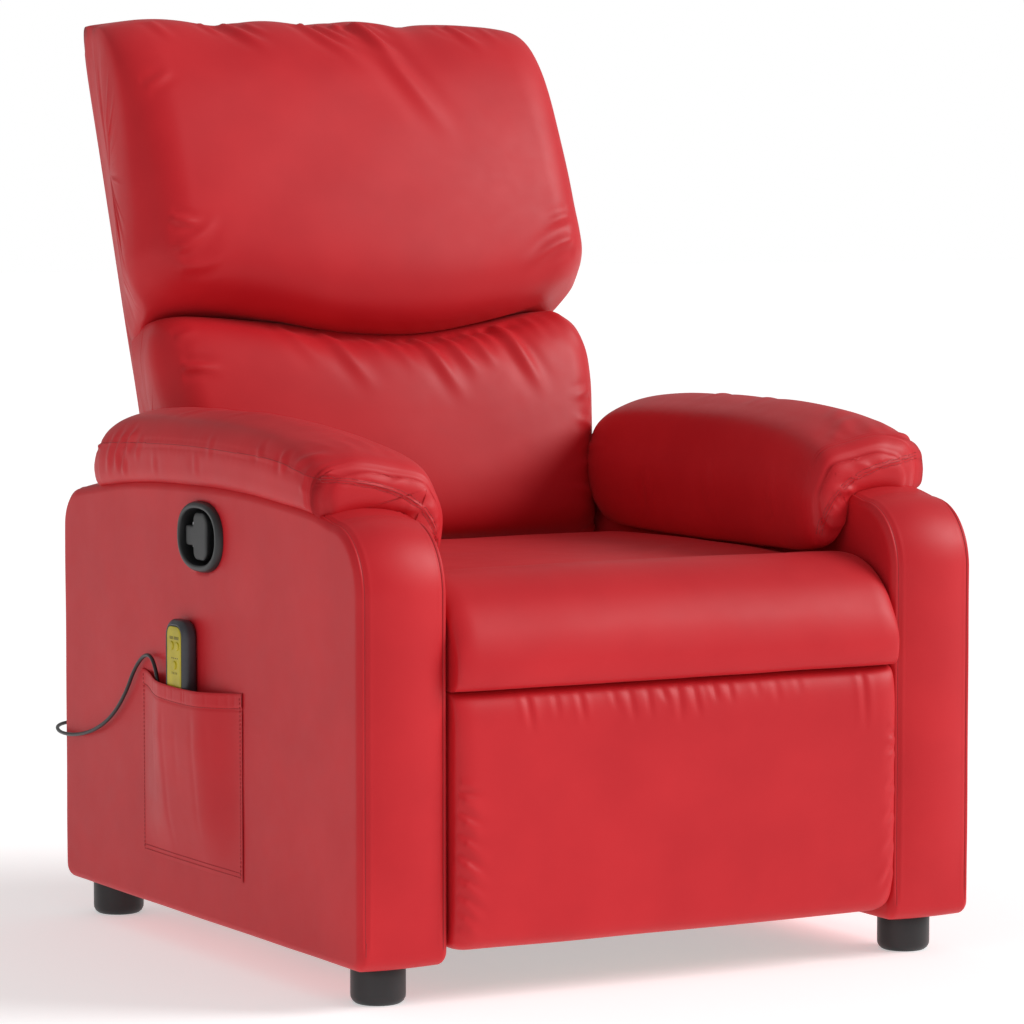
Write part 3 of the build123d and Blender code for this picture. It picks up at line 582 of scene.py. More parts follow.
def puckers(skin, line, seed, spacing=9 * MM, depth=1.0 * MM, reach=14 * MM, sides=(-1, 1)):
    """Short creases that cross a seam's edge all along a landed line."""
    rng = random.Random(seed)
    line = spaced(line, spacing)
    along = unit(np.gradient(line, axis=0))
    for point, way in zip(line[1:-1], along[1:-1]):
        out = np.array(skin.tree.find_nearest(Vector(point))[1])
        side = np.cross(way, out)
        for which in sides:
            length = reach * rng.uniform(0.35, 1.1)
            lean = rng.uniform(-0.35, 0.35) * length
            start = point + way * rng.uniform(-0.35, 0.35) * spacing
            end = start + side * which * length + way * lean
            track = skin.land([start, (start + end) / 2, end], None, 3 * MM)
            strength = depth * rng.uniform(0.3, 1.0)
            skin.crease(track, strength, rng.uniform(1.8, 3.0) * MM, ridge=0.6, fade=(0.15, 0.8))


# ---- arm bodies ----------------------------------------------------------------------------------
ARM_HALF = (HALF_WIDTH - INNER) / 2
ARM_CROWN = 0.007                    # how far the band over an arm bulges between its seams
BAND_EDGE = 0.0075                   # from an arm's side to the seam of its band
EDGE_TILT = math.radians(17)         # slope where the band meets its seams
ARM_RING = 560                       # points round an arm
LOW_CORNER = 0.016                   # radius of an arm's lower corners
LOW_HEIGHT = 0.0592                  # height of those corners' centres
REAR_CORNER = 0.046                  # radius of its upper rear corner
SEAM_SHARE = 0.68                    # part of the outline that a band seam runs along
HANDLE_Y, HANDLE_Z = FRONT + 0.363, 0.48
CUP_LONG, CUP_TALL = 0.054, 0.04     # half sizes of the opening behind the handle's surround


def arm_profile():
    """Closed side outline of an arm as (distance behind FRONT, height), from its lower front corner
    up over the round upper corner and the crest to the lower rear corner."""
    turn = np.linspace(0, math.pi / 2, 24)
    c, s = np.cos(turn), np.sin(turn)
    low_front = np.stack([-0.001 - LOW_CORNER * s, LOW_HEIGHT - LOW_CORNER * c], -1)
    front = np.stack([0.05 - 0.067 * c, 0.44 + 0.0765 * s], -1)
    crest = smooth_line([(0.05, 0.5165), (0.092, 0.5255), (0.15, 0.5305), (0.25, 0.5365), (0.35, 0.5375),
                         (0.45, 0.536), (0.565, 0.53), (0.646, 0.521), (0.707, 0.513)], 8)
    rear = np.stack([0.707 + REAR_CORNER * s, 0.467 + REAR_CORNER * c], -1)
    low_rear = np.stack([0.737 + LOW_CORNER * c, LOW_HEIGHT - LOW_CORNER * s], -1)
    return even(np.vstack([low_front, front, crest[1:], rear[1:], low_rear]), ARM_RING, True)


def arm_rows(side):
    """Loops of an arm body from the middle of its inner side over the band to its outer side."""
    loop = arm_profile()
    along = unit(np.roll(loop, -1, 0) - np.roll(loop, 1, 0))
    out = np.stack([-along[:, 1], along[:, 0]], -1)
    middle = side * (INNER + ARM_HALF)
    rows = []

    def add(across, shape):
        rows.append(np.column_stack([np.full(ARM_RING, middle + side * across), FRONT + shape[:, 0],
                                     shape[:, 1]]))

    bend = BAND_EDGE / (1 - math.sin(EDGE_TILT))
    turns = np.linspace(EDGE_TILT, math.pi / 2, 12)
    sides = [(ARM_HALF - BAND_EDGE + bend * (math.sin(t) - math.sin(EDGE_TILT)),
              bend * (math.cos(EDGE_TILT) - math.cos(t))) for t in turns]
    panel = loop - out * sides[-1][1]
    spine = np.stack([np.clip(panel[:, 0], 0.22, 0.5), np.full(ARM_RING, 0.275)], -1)
    for share in np.linspace(0.985, 0.02, 34):
        add(-ARM_HALF, panel + (spine - panel) * share)
    for across, inset in sides[::-1]:
        add(-across, loop - out * inset)
    band = ARM_HALF - BAND_EDGE
    raised = ARM_CROWN * np.clip((loop[:, 1:] - 0.05) / 0.1, 0.15, 1)
    for across in np.linspace(-band, band, 30)[1:-1]:
        add(across, loop + out * raised * (1 - (across / band) ** 2))
    for across, inset in sides:
        add(across, loop - out * inset)
    for share in np.linspace(0.012, 0.985, 58):
        add(ARM_HALF, panel + (spine - panel) * share)
    return np.array(rows)


def band_seam(side, edge):
    """Seam along one edge of an arm's band, from its low front over the top to its low rear."""
    across = side * (INNER + ARM_HALF + edge * (ARM_HALF - BAND_EDGE))
    track = arm_profile()[6:int(SEAM_SHARE * ARM_RING)]
    return np.column_stack([np.full(len(track), across), FRONT + track[:, 0], track[:, 1]])


def open_handle_cup(skin):
    """Leave out the arm's faces behind the handle's surround, with a neat oval edge."""
    p = skin.points
    y, z = p[:, 1] - HANDLE_Y, p[:, 2] - HANDLE_Z
    away = np.hypot(y / CUP_LONG, z / CUP_TALL)
    outside = p[:, 0] < PANEL + 0.006
    snapped = outside & (away > 0.8) & (away < 1.09)
    p[snapped, 1] = HANDLE_Y + (y / away * 0.95)[snapped]
    p[snapped, 2] = HANDLE_Z + (z / away * 0.95)[snapped]
    inside = outside & (away <= 0.8)
    skin.quads = skin.quads[~inside[skin.quads].any(axis=1)]


def make_arm(side, name):
    """Upholstered arm with the two seams of its band."""
    skin = Skin(arm_rows(side), turn_out=side > 0)
    seams = [band_seam(side, edge) for edge in (-1, 1)]
    for line in seams:
        seam(skin, line, 1.3 * MM, 1.5 * MM, ridge=0.5)
    skin.ripple(0.5 * MM, 0.16, 11)
    if side < 0:
        open_handle_cup(skin)
    skin.refresh()
    skin.make(f"arm_body_{name}", LEATHER, "base", "upholstery", (f"arm_cover_{name}",), fill=0.9)
    threads = Threads()
    for line in seams:
        threads.bead(skin.land(line, None, 3 * MM), 0.4 * MM)
    threads.make(f"arm_seams_{name}", "base")


# ---- arm pads ------------------------------------------------------------------------------------
PAD_STATIONS = [
    # distance behind FRONT, top, outer low edge, inner low edge, inner bulge
    (0.078, 0.568, 0.5188, 0.482, 0.245),
    (0.08, 0.575, 0.5192, 0.472, 0.24),
    (0.084, 0.58, 0.5201, 0.466, 0.2375),
    (0.09, 0.5845, 0.5214, 0.462, 0.2355),
    (0.1, 0.5895, 0.523, 0.4595, 0.2345),
    (0.12, 0.5965, 0.525, 0.457, 0.2355),
    (0.15, 0.6035, 0.527, 0.455, 0.239),
    (0.2, 0.611, 0.5302, 0.454, 0.2435),
    (0.27, 0.6165, 0.534, 0.453, 0.246),
    (0.35, 0.618, 0.5348, 0.453, 0.246),
    (0.45, 0.6175, 0.5333, 0.453, 0.246),
    (0.52, 0.6155, 0.53, 0.454, 0.247),
    (0.575, 0.611, 0.5262, 0.458, 0.25),
    (0.61, 0.604, 0.5225, 0.47, 0.256),
    (0.636, 0.593, 0.5195, 0.49, 0.265),
    (0.65, 0.58, 0.518, 0.506, 0.277),
    (0.662, 0.564, 0.522, 0.52, 0.294),
]
PAD_OUTLINES = {
    # distance behind FRONT, outer bulge
    -1: [(0.078, 0.384), (0.08, 0.39), (0.084, 0.3945), (0.092, 0.398), (0.11, 0.4), (0.45, 0.4),
         (0.61, 0.399), (0.636, 0.3975), (0.65, 0.395), (0.662, 0.39)],
    1: [(0.078, 0.364), (0.081, 0.373), (0.087, 0.382), (0.095, 0.3895), (0.106, 0.3965), (0.122, 0.4),
        (0.45, 0.4), (0.61, 0.399), (0.636, 0.3975), (0.65, 0.395), (0.662, 0.39)],
}


def pad_section(top, low, inner_low, outer, inner):
    """Control points of the pad's cross-section: from its outer low edge over the top and round."""
    thick = top - low
    tuck = min(HALF_WIDTH, outer) - 0.009
    middle = min(0.338, (outer + inner) / 2 + 0.02)
    return np.array([
        (tuck, low + 0.0005),
        (outer - 0.003, low + 0.1 * thick),
        (outer, low + 0.34 * thick),
        (outer - 0.0005, low + 0.52 * thick),
        (outer - 0.004, low + 0.7 * thick),
        (outer - 0.24 * (outer - middle), low + 0.88 * thick),
        (outer - 0.56 * (outer - middle), low + 0.97 * thick),
        (middle, top + 0.001),
        (middle - 0.4 * (middle - inner), top - 0.006 * min(thick / 0.05, 1)),
        (inner + 0.24 * (middle - inner), top - 0.26 * thick),
        (inner + 0.007, top - 0.36 * (top - inner_low)),
        (inner, top - 0.55 * (top - inner_low)),
        (inner + 0.001, inner_low + 0.24 * (top - inner_low)),
        (inner + 0.006, inner_low + 0.09 * (top - inner_low)),
        (inner + 0.016, inner_low),
        (min(0.281, inner + 0.034), inner_low + 0.003),
        (max(0.2834, inner + 0.006), (inner_low + low) / 2),
        (0.2836, low - 0.02),
        (0.285, low - 0.008),
        (0.29, low + 0.0015),
        (0.5 * (INNER + middle), low + 0.0065),
        (middle, low + 0.0085),
        (0.5 * (tuck + middle), low + 0.006),
    ])


PAD_RING = 190                       # points round a pad
NOSE_CENTRE = (0.262, 0.548)         # across and height of the point the nose's rings close on
NOSE_ROUND = 0.016                   # width of the rounding at the nose's rim
NOSE_CROWN = 0.008                   # how far the nose stands ahead of its rim
REAR_CROWN = 0.005                   # the same at the rear end


def pad_rows(side):
    """Cross-sections from front to rear, with rings that close the nose and the rear end."""
    behind = np.concatenate([np.linspace(0.078, 0.1, 20), np.linspace(0.1, 0.2, 34)[1:],
                             np.linspace(0.2, 0.57, 100)[1:], np.linspace(0.57, 0.662, 44)[1:]])
    values = between(PAD_STATIONS, behind)
    outers = between(PAD_OUTLINES[side], behind)[:, 0]
    rows = []
    for y, outer, (top, low, inner_low, inner) in zip(behind, outers, values):
        section = smooth_line(pad_section(top, low, inner_low, outer, inner), 10, True)
        loop = even(section, PAD_RING, True)
        rows.append(np.stack([side * loop[:, 0], np.full(PAD_RING, FRONT + y), loop[:, 1]], -1))
    first, last = rows[0], rows[-1]
    heart = np.array([side * NOSE_CENTRE[0], FRONT + behind[0], NOSE_CENTRE[1]])
    for share in np.linspace(0.97, 0.05, 24):
        ring = heart + (first - heart) * share
        apart = np.linalg.norm(ring[:, None, ::2] - first[None, :, ::2], axis=2).min(axis=1)
        edge = 1 - np.clip(apart / NOSE_ROUND, 0, 1)
        ring[:, 1] -= NOSE_CROWN * np.sqrt(1 - edge**2)
        rows.insert(0, ring)
    for share in (0.94, 0.85, 0.72, 0.55, 0.35, 0.15):
        rise = math.sqrt(1 - share * share)
        rows.append(last.mean(0) + (last - last.mean(0)) * share + (0, REAR_CROWN * rise, 0))
    return np.array(rows)


def make_pad(side, name):
    """Arm pillow with its seams, wrinkles and stitching."""
    skin = Skin(pad_rows(side), turn_out=side < 0)
    outer = side * (HALF_WIDTH + 0.08)
    inward = (-side, 0, 0)

    # side seam, then round the front and down the inner end
    side_seam = skin.land([(outer, FRONT + y, z) for y, z in (
        (0.65, 0.567), (0.6, 0.573), (0.5, 0.578), (0.4, 0.581), (0.3, 0.5805), (0.21, 0.579),
        (0.155, 0.5755), (0.12, 0.57), (0.103 if side > 0 else 0.09, 0.564))], inward, 3 * MM)
    front_seam = skin.land([(side * a, FRONT - 0.05, z) for a, z in (
        (0.39, 0.562), (0.366, 0.5595), (0.342, 0.5565), (0.314, 0.55), (0.291, 0.541), (0.2735, 0.53),
        (0.261, 0.517), (0.253, 0.503), (0.249, 0.489), (0.248, 0.476))],
        (0, 1, 0), 3 * MM)
    whole = np.vstack([side_seam, front_seam])
    rear_seam = skin.land([(side * a, FRONT + 0.75, z) for a, z in (
        (0.397, 0.566), (0.37, 0.568), (0.34, 0.568), (0.31, 0.562))], (0, -1, 0), 3 * MM)

    # wrinkles of the outer side: leaning strokes that cross the seam
    side_marks = [
        (0.6, 0.59, 0.53, 0.018, 1.6, 5.0), (0.575, 0.592, 0.538, 0.02, 2.6, 5.0),
        (0.545, 0.595, 0.56, 0.018, 2.2, 4.5), (0.52, 0.59, 0.552, 0.012, 1.3, 4.0),
        (0.56, 0.565, 0.535, 0.004, 1.7, 4.5), (0.475, 0.573, 0.54, 0.003, 0.8, 5.0),
        (0.365, 0.578, 0.545, 0.003, 0.8, 5.0), (0.33, 0.6, 0.565, 0.003, 0.7, 5.0),
        (0.205, 0.592, 0.572, -0.01, 1.2, 5.0), (0.15, 0.592, 0.56, -0.004, 1.8, 5.0),
        (0.118, 0.59, 0.565, 0.022, 1.5, 5.5), (0.1, 0.557, 0.545, -0.004, 0.8, 4.0),
    ]
    for y, high, low, lean, depth, width in side_marks:
        skin.press([(outer, FRONT + y - lean, high), (outer, FRONT + y, (high + low) / 2),
                    (outer, FRONT + y + lean * 0.4, low)], inward, depth, width, fade=(0.4, 0.4))

    # wrinkles on the front nose, gathered towards the inner corner
    from_above, from_front = (0, 0, -1), (0, 1, 0)
    for line, depth in (
        ([(0.38, 0.17), (0.366, 0.13), (0.352, 0.098)], 1.0),
        ([(0.355, 0.14), (0.34, 0.115), (0.33, 0.094)], 0.7),
        ([(0.33, 0.15), (0.312, 0.12), (0.302, 0.098)], 0.9),
        ([(0.3, 0.13), (0.29, 0.112), (0.284, 0.098)], 0.9),
    ):
        skin.press([(side * x, FRONT + y, 0.7) for x, y in line], from_above, depth, 7, 0.4, (0.6, 0.3))
    for line, depth in (
        ([(0.318, 0.545), (0.3, 0.555), (0.28, 0.564)], 0.8),
        ([(0.3, 0.534), (0.28, 0.543), (0.258, 0.549)], 1.2),
        ([(0.296, 0.5255), (0.272, 0.527), (0.248, 0.526)], 2.0),
        ([(0.288, 0.513), (0.268, 0.515), (0.245, 0.511)], 1.4),
        ([(0.275, 0.5), (0.264, 0.502), (0.246, 0.497)], 0.7),
        ([(0.274, 0.48), (0.264, 0.482), (0.246, 0.477)], 0.5),
    ):
        skin.press([(side * x, FRONT - 0.05, z) for x, z in line], from_front, depth, 4.4, 0.4, (0.3, 0.6))

    # long soft wrinkles on top and on the inner bulge
    for line, depth, width in (
        ([(0.385, 0.46), (0.345, 0.44), (0.3, 0.43)], 1.2, 7),
        ([(0.375, 0.36), (0.33, 0.33), (0.29, 0.31)], 0.9, 8),
        ([(0.37, 0.2), (0.33, 0.17), (0.3, 0.12)], 1.2, 8),
        ([(0.35, 0.16), (0.31, 0.13), (0.28, 0.1)], 1.1, 7),
    ):
        skin.press([(side * x, FRONT + y, 0.7) for x, y in line], from_above, depth, width, 0.5, (0.4, 0.5))
    for line, depth, width in (
        ([(0.33, 0.56), (0.315, 0.5), (0.305, 0.47)], 1.0, 8),
        ([(0.19, 0.57), (0.17, 0.51), (0.165, 0.47)], 0.8, 8),
        ([(0.46, 0.54), (0.455, 0.49), (0.45, 0.465)], 1.0, 7),
    ):
        skin.press([(0, FRONT + y, z) for y, z in line], (side, 0, 0), depth, width, 0.5, (0.4, 0.5))

    puckers(skin, front_seam, 5, spacing=10 * MM, depth=0.5 * MM, reach=14 * MM)
    puckers(skin, side_seam, 6, spacing=24 * MM, depth=0.4 * MM, reach=18 * MM)
    skin.ripple(0.9 * MM, 0.14, 21 if side > 0 else 22)
    seam(skin, side_seam, 0.9 * MM, 1.4 * MM, ridge=0.4)
    seam(skin, front_seam, 1.1 * MM, 1.5 * MM, ridge=0.4)
    seam(skin, rear_seam, 1.5 * MM, 1.9 * MM)
    skin.refresh()
    skin.make(f"arm_pad_soft_{name}", LEATHER, "base", "upholstery", (f"arm_pad_{name}",), fill=0.85)
    threads = Threads()
    line = skin.land(front_seam, None, 3 * MM)
    for distance in (-3.6 * MM, 3.6 * MM):
        threads.stitch(skin.tree, offset_line(skin, line, distance))
    threads.bead(skin.land(whole, None, 3 * MM), 0.4 * MM)
    threads.make(f"pad_stitching_{name}", "base")


# ---- seat ----------------------------------------------------------------------------------------
def rounded_end(x, reach, radius):
    """Share of the full bulge at a distance from the middle: falls like a quarter circle at the end."""
    over = max(abs(x) - (reach - radius), 0) / radius
    return math.sqrt(max(1 - over * over, 0))


def bar_rows(full, edge, radius, count, broad=0.0):
    """Rows of a cushion along X: the edge profile at both ends swells to the full one between.
    broad is the share of the swelling that is spread over the whole width."""
    reach = SEAT_HALF
    full = even(smooth_line(full, 10, True), count, True)
    edge = even(smooth_line(edge, 10, True), count, True)
    rows = []
    for x in across_places(reach):
        share = (1 - broad) * rounded_end(x, reach, radius) + broad * (1 - (x / reach) ** 2) ** 0.8
        loop = edge + (full - edge) * share
        rows.append(np.column_stack([np.full(count, x), loop]))
    return np.array(rows)


def closing(rows, depth=0.002, shares=(0.92, 0.75, 0.45)):
    """Add shrinking rings that close both ends of a cushion with a slight crown."""
    rows = list(rows)
    first, last = rows[0], rows[-1]
    out_first = unit(first.mean(0) - rows[1].mean(0))
    out_last = unit(last.mean(0) - rows[-2].mean(0))
    for share in shares:
        rise = depth * (1 - share * share)
        rows.insert(0, first.mean(0) + (first - first.mean(0)) * share + out_first * rise)
        rows.append(last.mean(0) + (last - last.mean(0)) * share + out_last * rise)
    return np.array(rows)


def across_places(reach, step=3.2 * MM, fine=1.1 * MM, band=0.02):
    """X stations across a cushion, closer together near its ends."""
    inner = np.linspace(-(reach - band), reach - band, int(2 * (reach - band) / step))
    left = np.linspace(-reach, -(reach - band), int(band / fine))
    return np.concatenate([left[:-1], inner, -left[::-1][1:]])


def make_seat():
    """Seat cushion, with a soft tail that reaches back under the lumbar cushion."""
    full = [(FRONT + y, z) for y, z in (
        (0.1225, 0.35), (0.122, 0.4), (0.123, 0.432), (0.134, 0.445), (0.165, 0.4505), (0.25, 0.453),
        (0.36, 0.453), (0.46, 0.4515), (0.53, 0.449), (0.572, 0.442), (0.594, 0.429), (0.6, 0.41),
        (0.592, 0.392), (0.562, 0.38), (0.556, 0.35), (0.545, 0.343), (0.34, 0.3425), (0.135, 0.343))]
    edge = [(FRONT + y, z) for y, z in (
        (0.128, 0.352), (0.126, 0.398), (0.127, 0.424), (0.138, 0.436), (0.168, 0.44), (0.25, 0.441),
        (0.36, 0.441), (0.46, 0.44), (0.525, 0.437), (0.566, 0.432), (0.588, 0.422), (0.594, 0.408),
        (0.587, 0.395), (0.558, 0.384), (0.551, 0.352), (0.542, 0.347), (0.34, 0.346), (0.138, 0.347))]
    rows = bar_rows(full, edge, 0.05, 190)
    skin = Skin(closing(rows))
    for line, depth, width in (
        ([(-0.2, 0.5), (-0.1, 0.46), (0.0, 0.45)], 1.0, 12),
        ([(0.22, 0.3), (0.14, 0.24), (0.1, 0.17)], 0.8, 12),
    ):
        skin.press([(x, FRONT + y, 0.7) for x, y in line], (0, 0, -1), depth, width, 0.5)
    skin.ripple(0.8 * MM, 0.17, 31)
    skin.refresh()
    skin.make("seat_pad", LEATHER, "seat", "upholstery", ("seat_cushion",), fill=0.8)


def make_roll():
    """Rounded front of the seat, in front of the seat cushion."""
    full = [(FRONT + y, z) for y, z in (
        (0.1195, 0.352), (0.1205, 0.4), (0.1195, 0.436), (0.112, 0.448), (0.095, 0.456), (0.068, 0.4605),
        (0.04, 0.459), (0.012, 0.448), (-0.012, 0.429), (-0.03, 0.402), (-0.038, 0.372), (-0.037, 0.351),
        (-0.031, 0.3395), (-0.012, 0.3365), (0.04, 0.339), (0.1, 0.3425))]
    edge = [(FRONT + y, z) for y, z in (
        (0.112, 0.356), (0.113, 0.398), (0.112, 0.428), (0.106, 0.438), (0.09, 0.445), (0.066, 0.448),
        (0.042, 0.446), (0.018, 0.436), (-0.004, 0.418), (-0.019, 0.396), (-0.031, 0.372),
        (-0.031, 0.3505), (-0.026, 0.3395), (-0.01, 0.3365), (0.04, 0.34), (0.098, 0.3425))]
    rows = bar_rows(full, edge, 0.026, 150, broad=0.2)
    skin = Skin(closing(rows))
    seam_line = skin.land([(x, FRONT + 0.108, 0.7) for x in (-0.276, -0.1, 0.1, 0.276)], (0, 0, -1), 3 * MM)
    puckers(skin, seam_line, 41, spacing=30 * MM, depth=0.5 * MM, reach=20 * MM, sides=(-1,))
    skin.ripple(0.9 * MM, 0.16, 32)
    skin.refresh()
    skin.make("seat_front_roll", LEATHER, "seat", "upholstery", ("seat_roll",), fill=0.9)


CORNER_LIFT = 0.006                  # how far the footrest's lower corners are drawn up


def make_footrest():
    """Front panel of the footrest: a soft slab gathered under the seat roll."""
    full = [(FRONT + y, z) for y, z in (
        (0.0245, 0.075), (0.0245, 0.19), (0.0245, 0.315), (0.018, 0.331), (0.002, 0.3362),
        (-0.015, 0.3355), (-0.0275, 0.3245), (-0.0335, 0.298), (-0.0345, 0.25), (-0.0345, 0.2),
        (-0.0345, 0.15), (-0.0335, 0.105), (-0.0295, 0.072), (-0.019, 0.059), (-0.002, 0.056),
        (0.016, 0.06))]
    edge = [(FRONT + y, z) for y, z in (
        (0.0235, 0.078), (0.0235, 0.19), (0.0235, 0.312), (0.018, 0.33), (0.004, 0.3355),
        (-0.009, 0.335), (-0.0195, 0.326), (-0.0235, 0.297), (-0.0225, 0.25), (-0.023, 0.2),
        (-0.0225, 0.15), (-0.0215, 0.11), (-0.0175, 0.078), (-0.01, 0.064), (0.002, 0.06),
        (0.016, 0.064))]
    rows = bar_rows(full, edge, 0.026, 210, broad=0.2)
    # the lower edge rises towards its two corners
    for row in rows:
        lift = CORNER_LIFT * (1 - rounded_end(row[0, 0], SEAT_HALF, 0.022))
        row[:, 2] += lift * np.clip((0.19 - row[:, 2]) / 0.135, 0, 1)
    skin = Skin(closing(rows))
    ahead, toward = FRONT - 0.15, (0, 1, 0)
    rng = random.Random(52)
    # gathers under the top edge
    for x, length, depth, width in (
        (-0.195, 0.048, 1.7, 3.2), (-0.16, 0.034, 1.0, 3.0), (-0.13, 0.04, 1.5, 3.0),
        (-0.088, 0.026, 1.0, 2.8), (-0.068, 0.044, 1.5, 3.4), (-0.045, 0.04, 1.4, 3.0),
        (-0.026, 0.022, 1.6, 2.8), (-0.006, 0.048, 1.7, 3.4), (0.014, 0.044, 1.6, 3.2),
        (0.04, 0.026, 1.8, 3.0), (0.06, 0.028, 1.5, 3.0), (0.095, 0.024, 0.8, 3.2),
        (0.12, 0.036, 0.8, 3.6), (0.15, 0.024, 0.7, 3.4), (0.236, 0.075, 1.8, 3.4),
    ):
        lean = rng.uniform(0.0, 0.006)
        skin.press([(x, ahead, 0.331), (x + lean * 0.3, ahead, 0.331 - length * 0.5),
                    (x + lean, ahead, 0.331 - length)],
                   toward, 0.6 * depth, 1.15 * width, fade=(0.05, 0.6), spacing=3 * MM)
    # slanting wrinkles down the sitter's right edge, and small tucks at the other
    for z, length, drop, depth, width in (
        (0.232, 0.032, 0.004, 1.9, 3.0), (0.212, 0.036, 0.016, 1.6, 3.6), (0.19, 0.03, 0.018, 1.2, 3.6),
        (0.168, 0.04, 0.026, 1.8, 4.0), (0.145, 0.034, 0.024, 1.4, 4.0), (0.125, 0.04, 0.03, 1.8, 4.0),
        (0.108, 0.034, 0.028, 1.5, 3.6), (0.09, 0.028, 0.022, 1.2, 3.4), (0.075, 0.024, 0.012, 0.9, 3.2),
    ):
        start = -SEAT_HALF + 0.003
        skin.press([(start, ahead, z), (start + length * 0.5, ahead, z - drop * 0.6),
                    (start + length, ahead, z - drop)],
                   toward, 1.05 * depth, 1.25 * width, fade=(0.05, 0.7), spacing=3 * MM)
    for z, length, drop, depth in (
        (0.262, 0.014, -0.003, 1.6), (0.245, 0.018, -0.006, 1.4), (0.205, 0.016, -0.01, 1.0),
        (0.172, 0.02, -0.014, 1.2), (0.14, 0.022, -0.02, 1.0), (0.11, 0.026, -0.03, 1.4),
    ):
        start = SEAT_HALF - 0.003
        skin.press([(start, ahead, z), (start - length * 0.5, ahead, z + drop * 0.6),
                    (start - length, ahead, z + drop)],
                   toward, 1.1 * depth, 4.2, fade=(0.05, 0.7), spacing=3 * MM)
    skin.ripple(0.8 * MM, 0.15, 33)
    skin.refresh()
    skin.make("footrest_panel", LEATHER, "footrest", "upholstery", ("footrest_pad",), fill=0.85)


# ---- back ----------------------------------------------------------------------------------------
def leaned(points):
    """Points given as (across, up the back, out of the back) moved into the row frame."""
    p = np.asarray(points, float)
    y = BACK_FOOT.y + p[..., 1] * math.sin(LEAN) - p[..., 2] * math.cos(LEAN)
    z = BACK_FOOT.z + p[..., 1] * math.cos(LEAN) + p[..., 2] * math.sin(LEAN)
    return np.stack([p[..., 0], y, z], -1)


INTO_BACK = (0, math.cos(LEAN), -math.sin(LEAN))
SHELL_HALF = 0.281                   # half width of the back's shell, which the cushions bulge past
SIDE_SEAM = 0.276                    # X where the tucks of the lumbar cushion's side seams start
HEAD_TOP = 0.744                     # where the folds of the head cushion start, up the back


def front_mark(skin, points, depth, width, ridge=0.6, fade=(0.08, 0.6)):
    """Crease on the sitter's side of the back from (across, up the back) points."""
    line = leaned([(x, v, 0.4) for x, v in points])
    skin.press(line, INTO_BACK, depth, width, ridge, fade, 3 * MM)


def puff(rows, widths):
    """Let a back cushion's sides bulge past the shell: widths are (up the back, half width) pairs."""
    rows = np.array(rows)
    half = between(widths, rows[:, :, 1].ravel())[:, 0].reshape(rows.shape[:2])
    out = np.clip(rows[:, :, 2] / 0.1, 0, 1)
    out = out * out * (3 - 2 * out)
    rows[:, :, 0] *= (SHELL_HALF + (half - SHELL_HALF) * out) / SEAT_HALF
    return rows


HEAD_SAG = (
    # place across the back, how far the edge hangs there
    (-0.31, -0.004), (-0.282, -0.004), (-0.22, 0.003), (-0.17, 0.011), (-0.122, 0.02), (-0.076, 0.03),
    (-0.017, 0.037), (0.042, 0.039), (0.093, 0.035), (0.143, 0.027), (0.191, 0.018), (0.236, 0.006),
    (0.282, -0.004), (0.31, -0.004),
)
HEAD_WAVES = (
    # place across the back, height and width of a bump or dip in the head cushion's upper edge
    (-0.215, 0.004, 0.045), (-0.135, -0.0045, 0.03), (-0.07, 0.002, 0.03), (-0.01, -0.003, 0.03),
    (0.055, 0.003, 0.03), (0.115, -0.004, 0.02), (0.19, 0.003, 0.05),
)


def head_sag(x):
    """How far the head cushion's heavy lower edge hangs over the lumbar cushion."""
    return float(between(HEAD_SAG, [np.clip(x, -0.3, 0.3)])[0, 0])


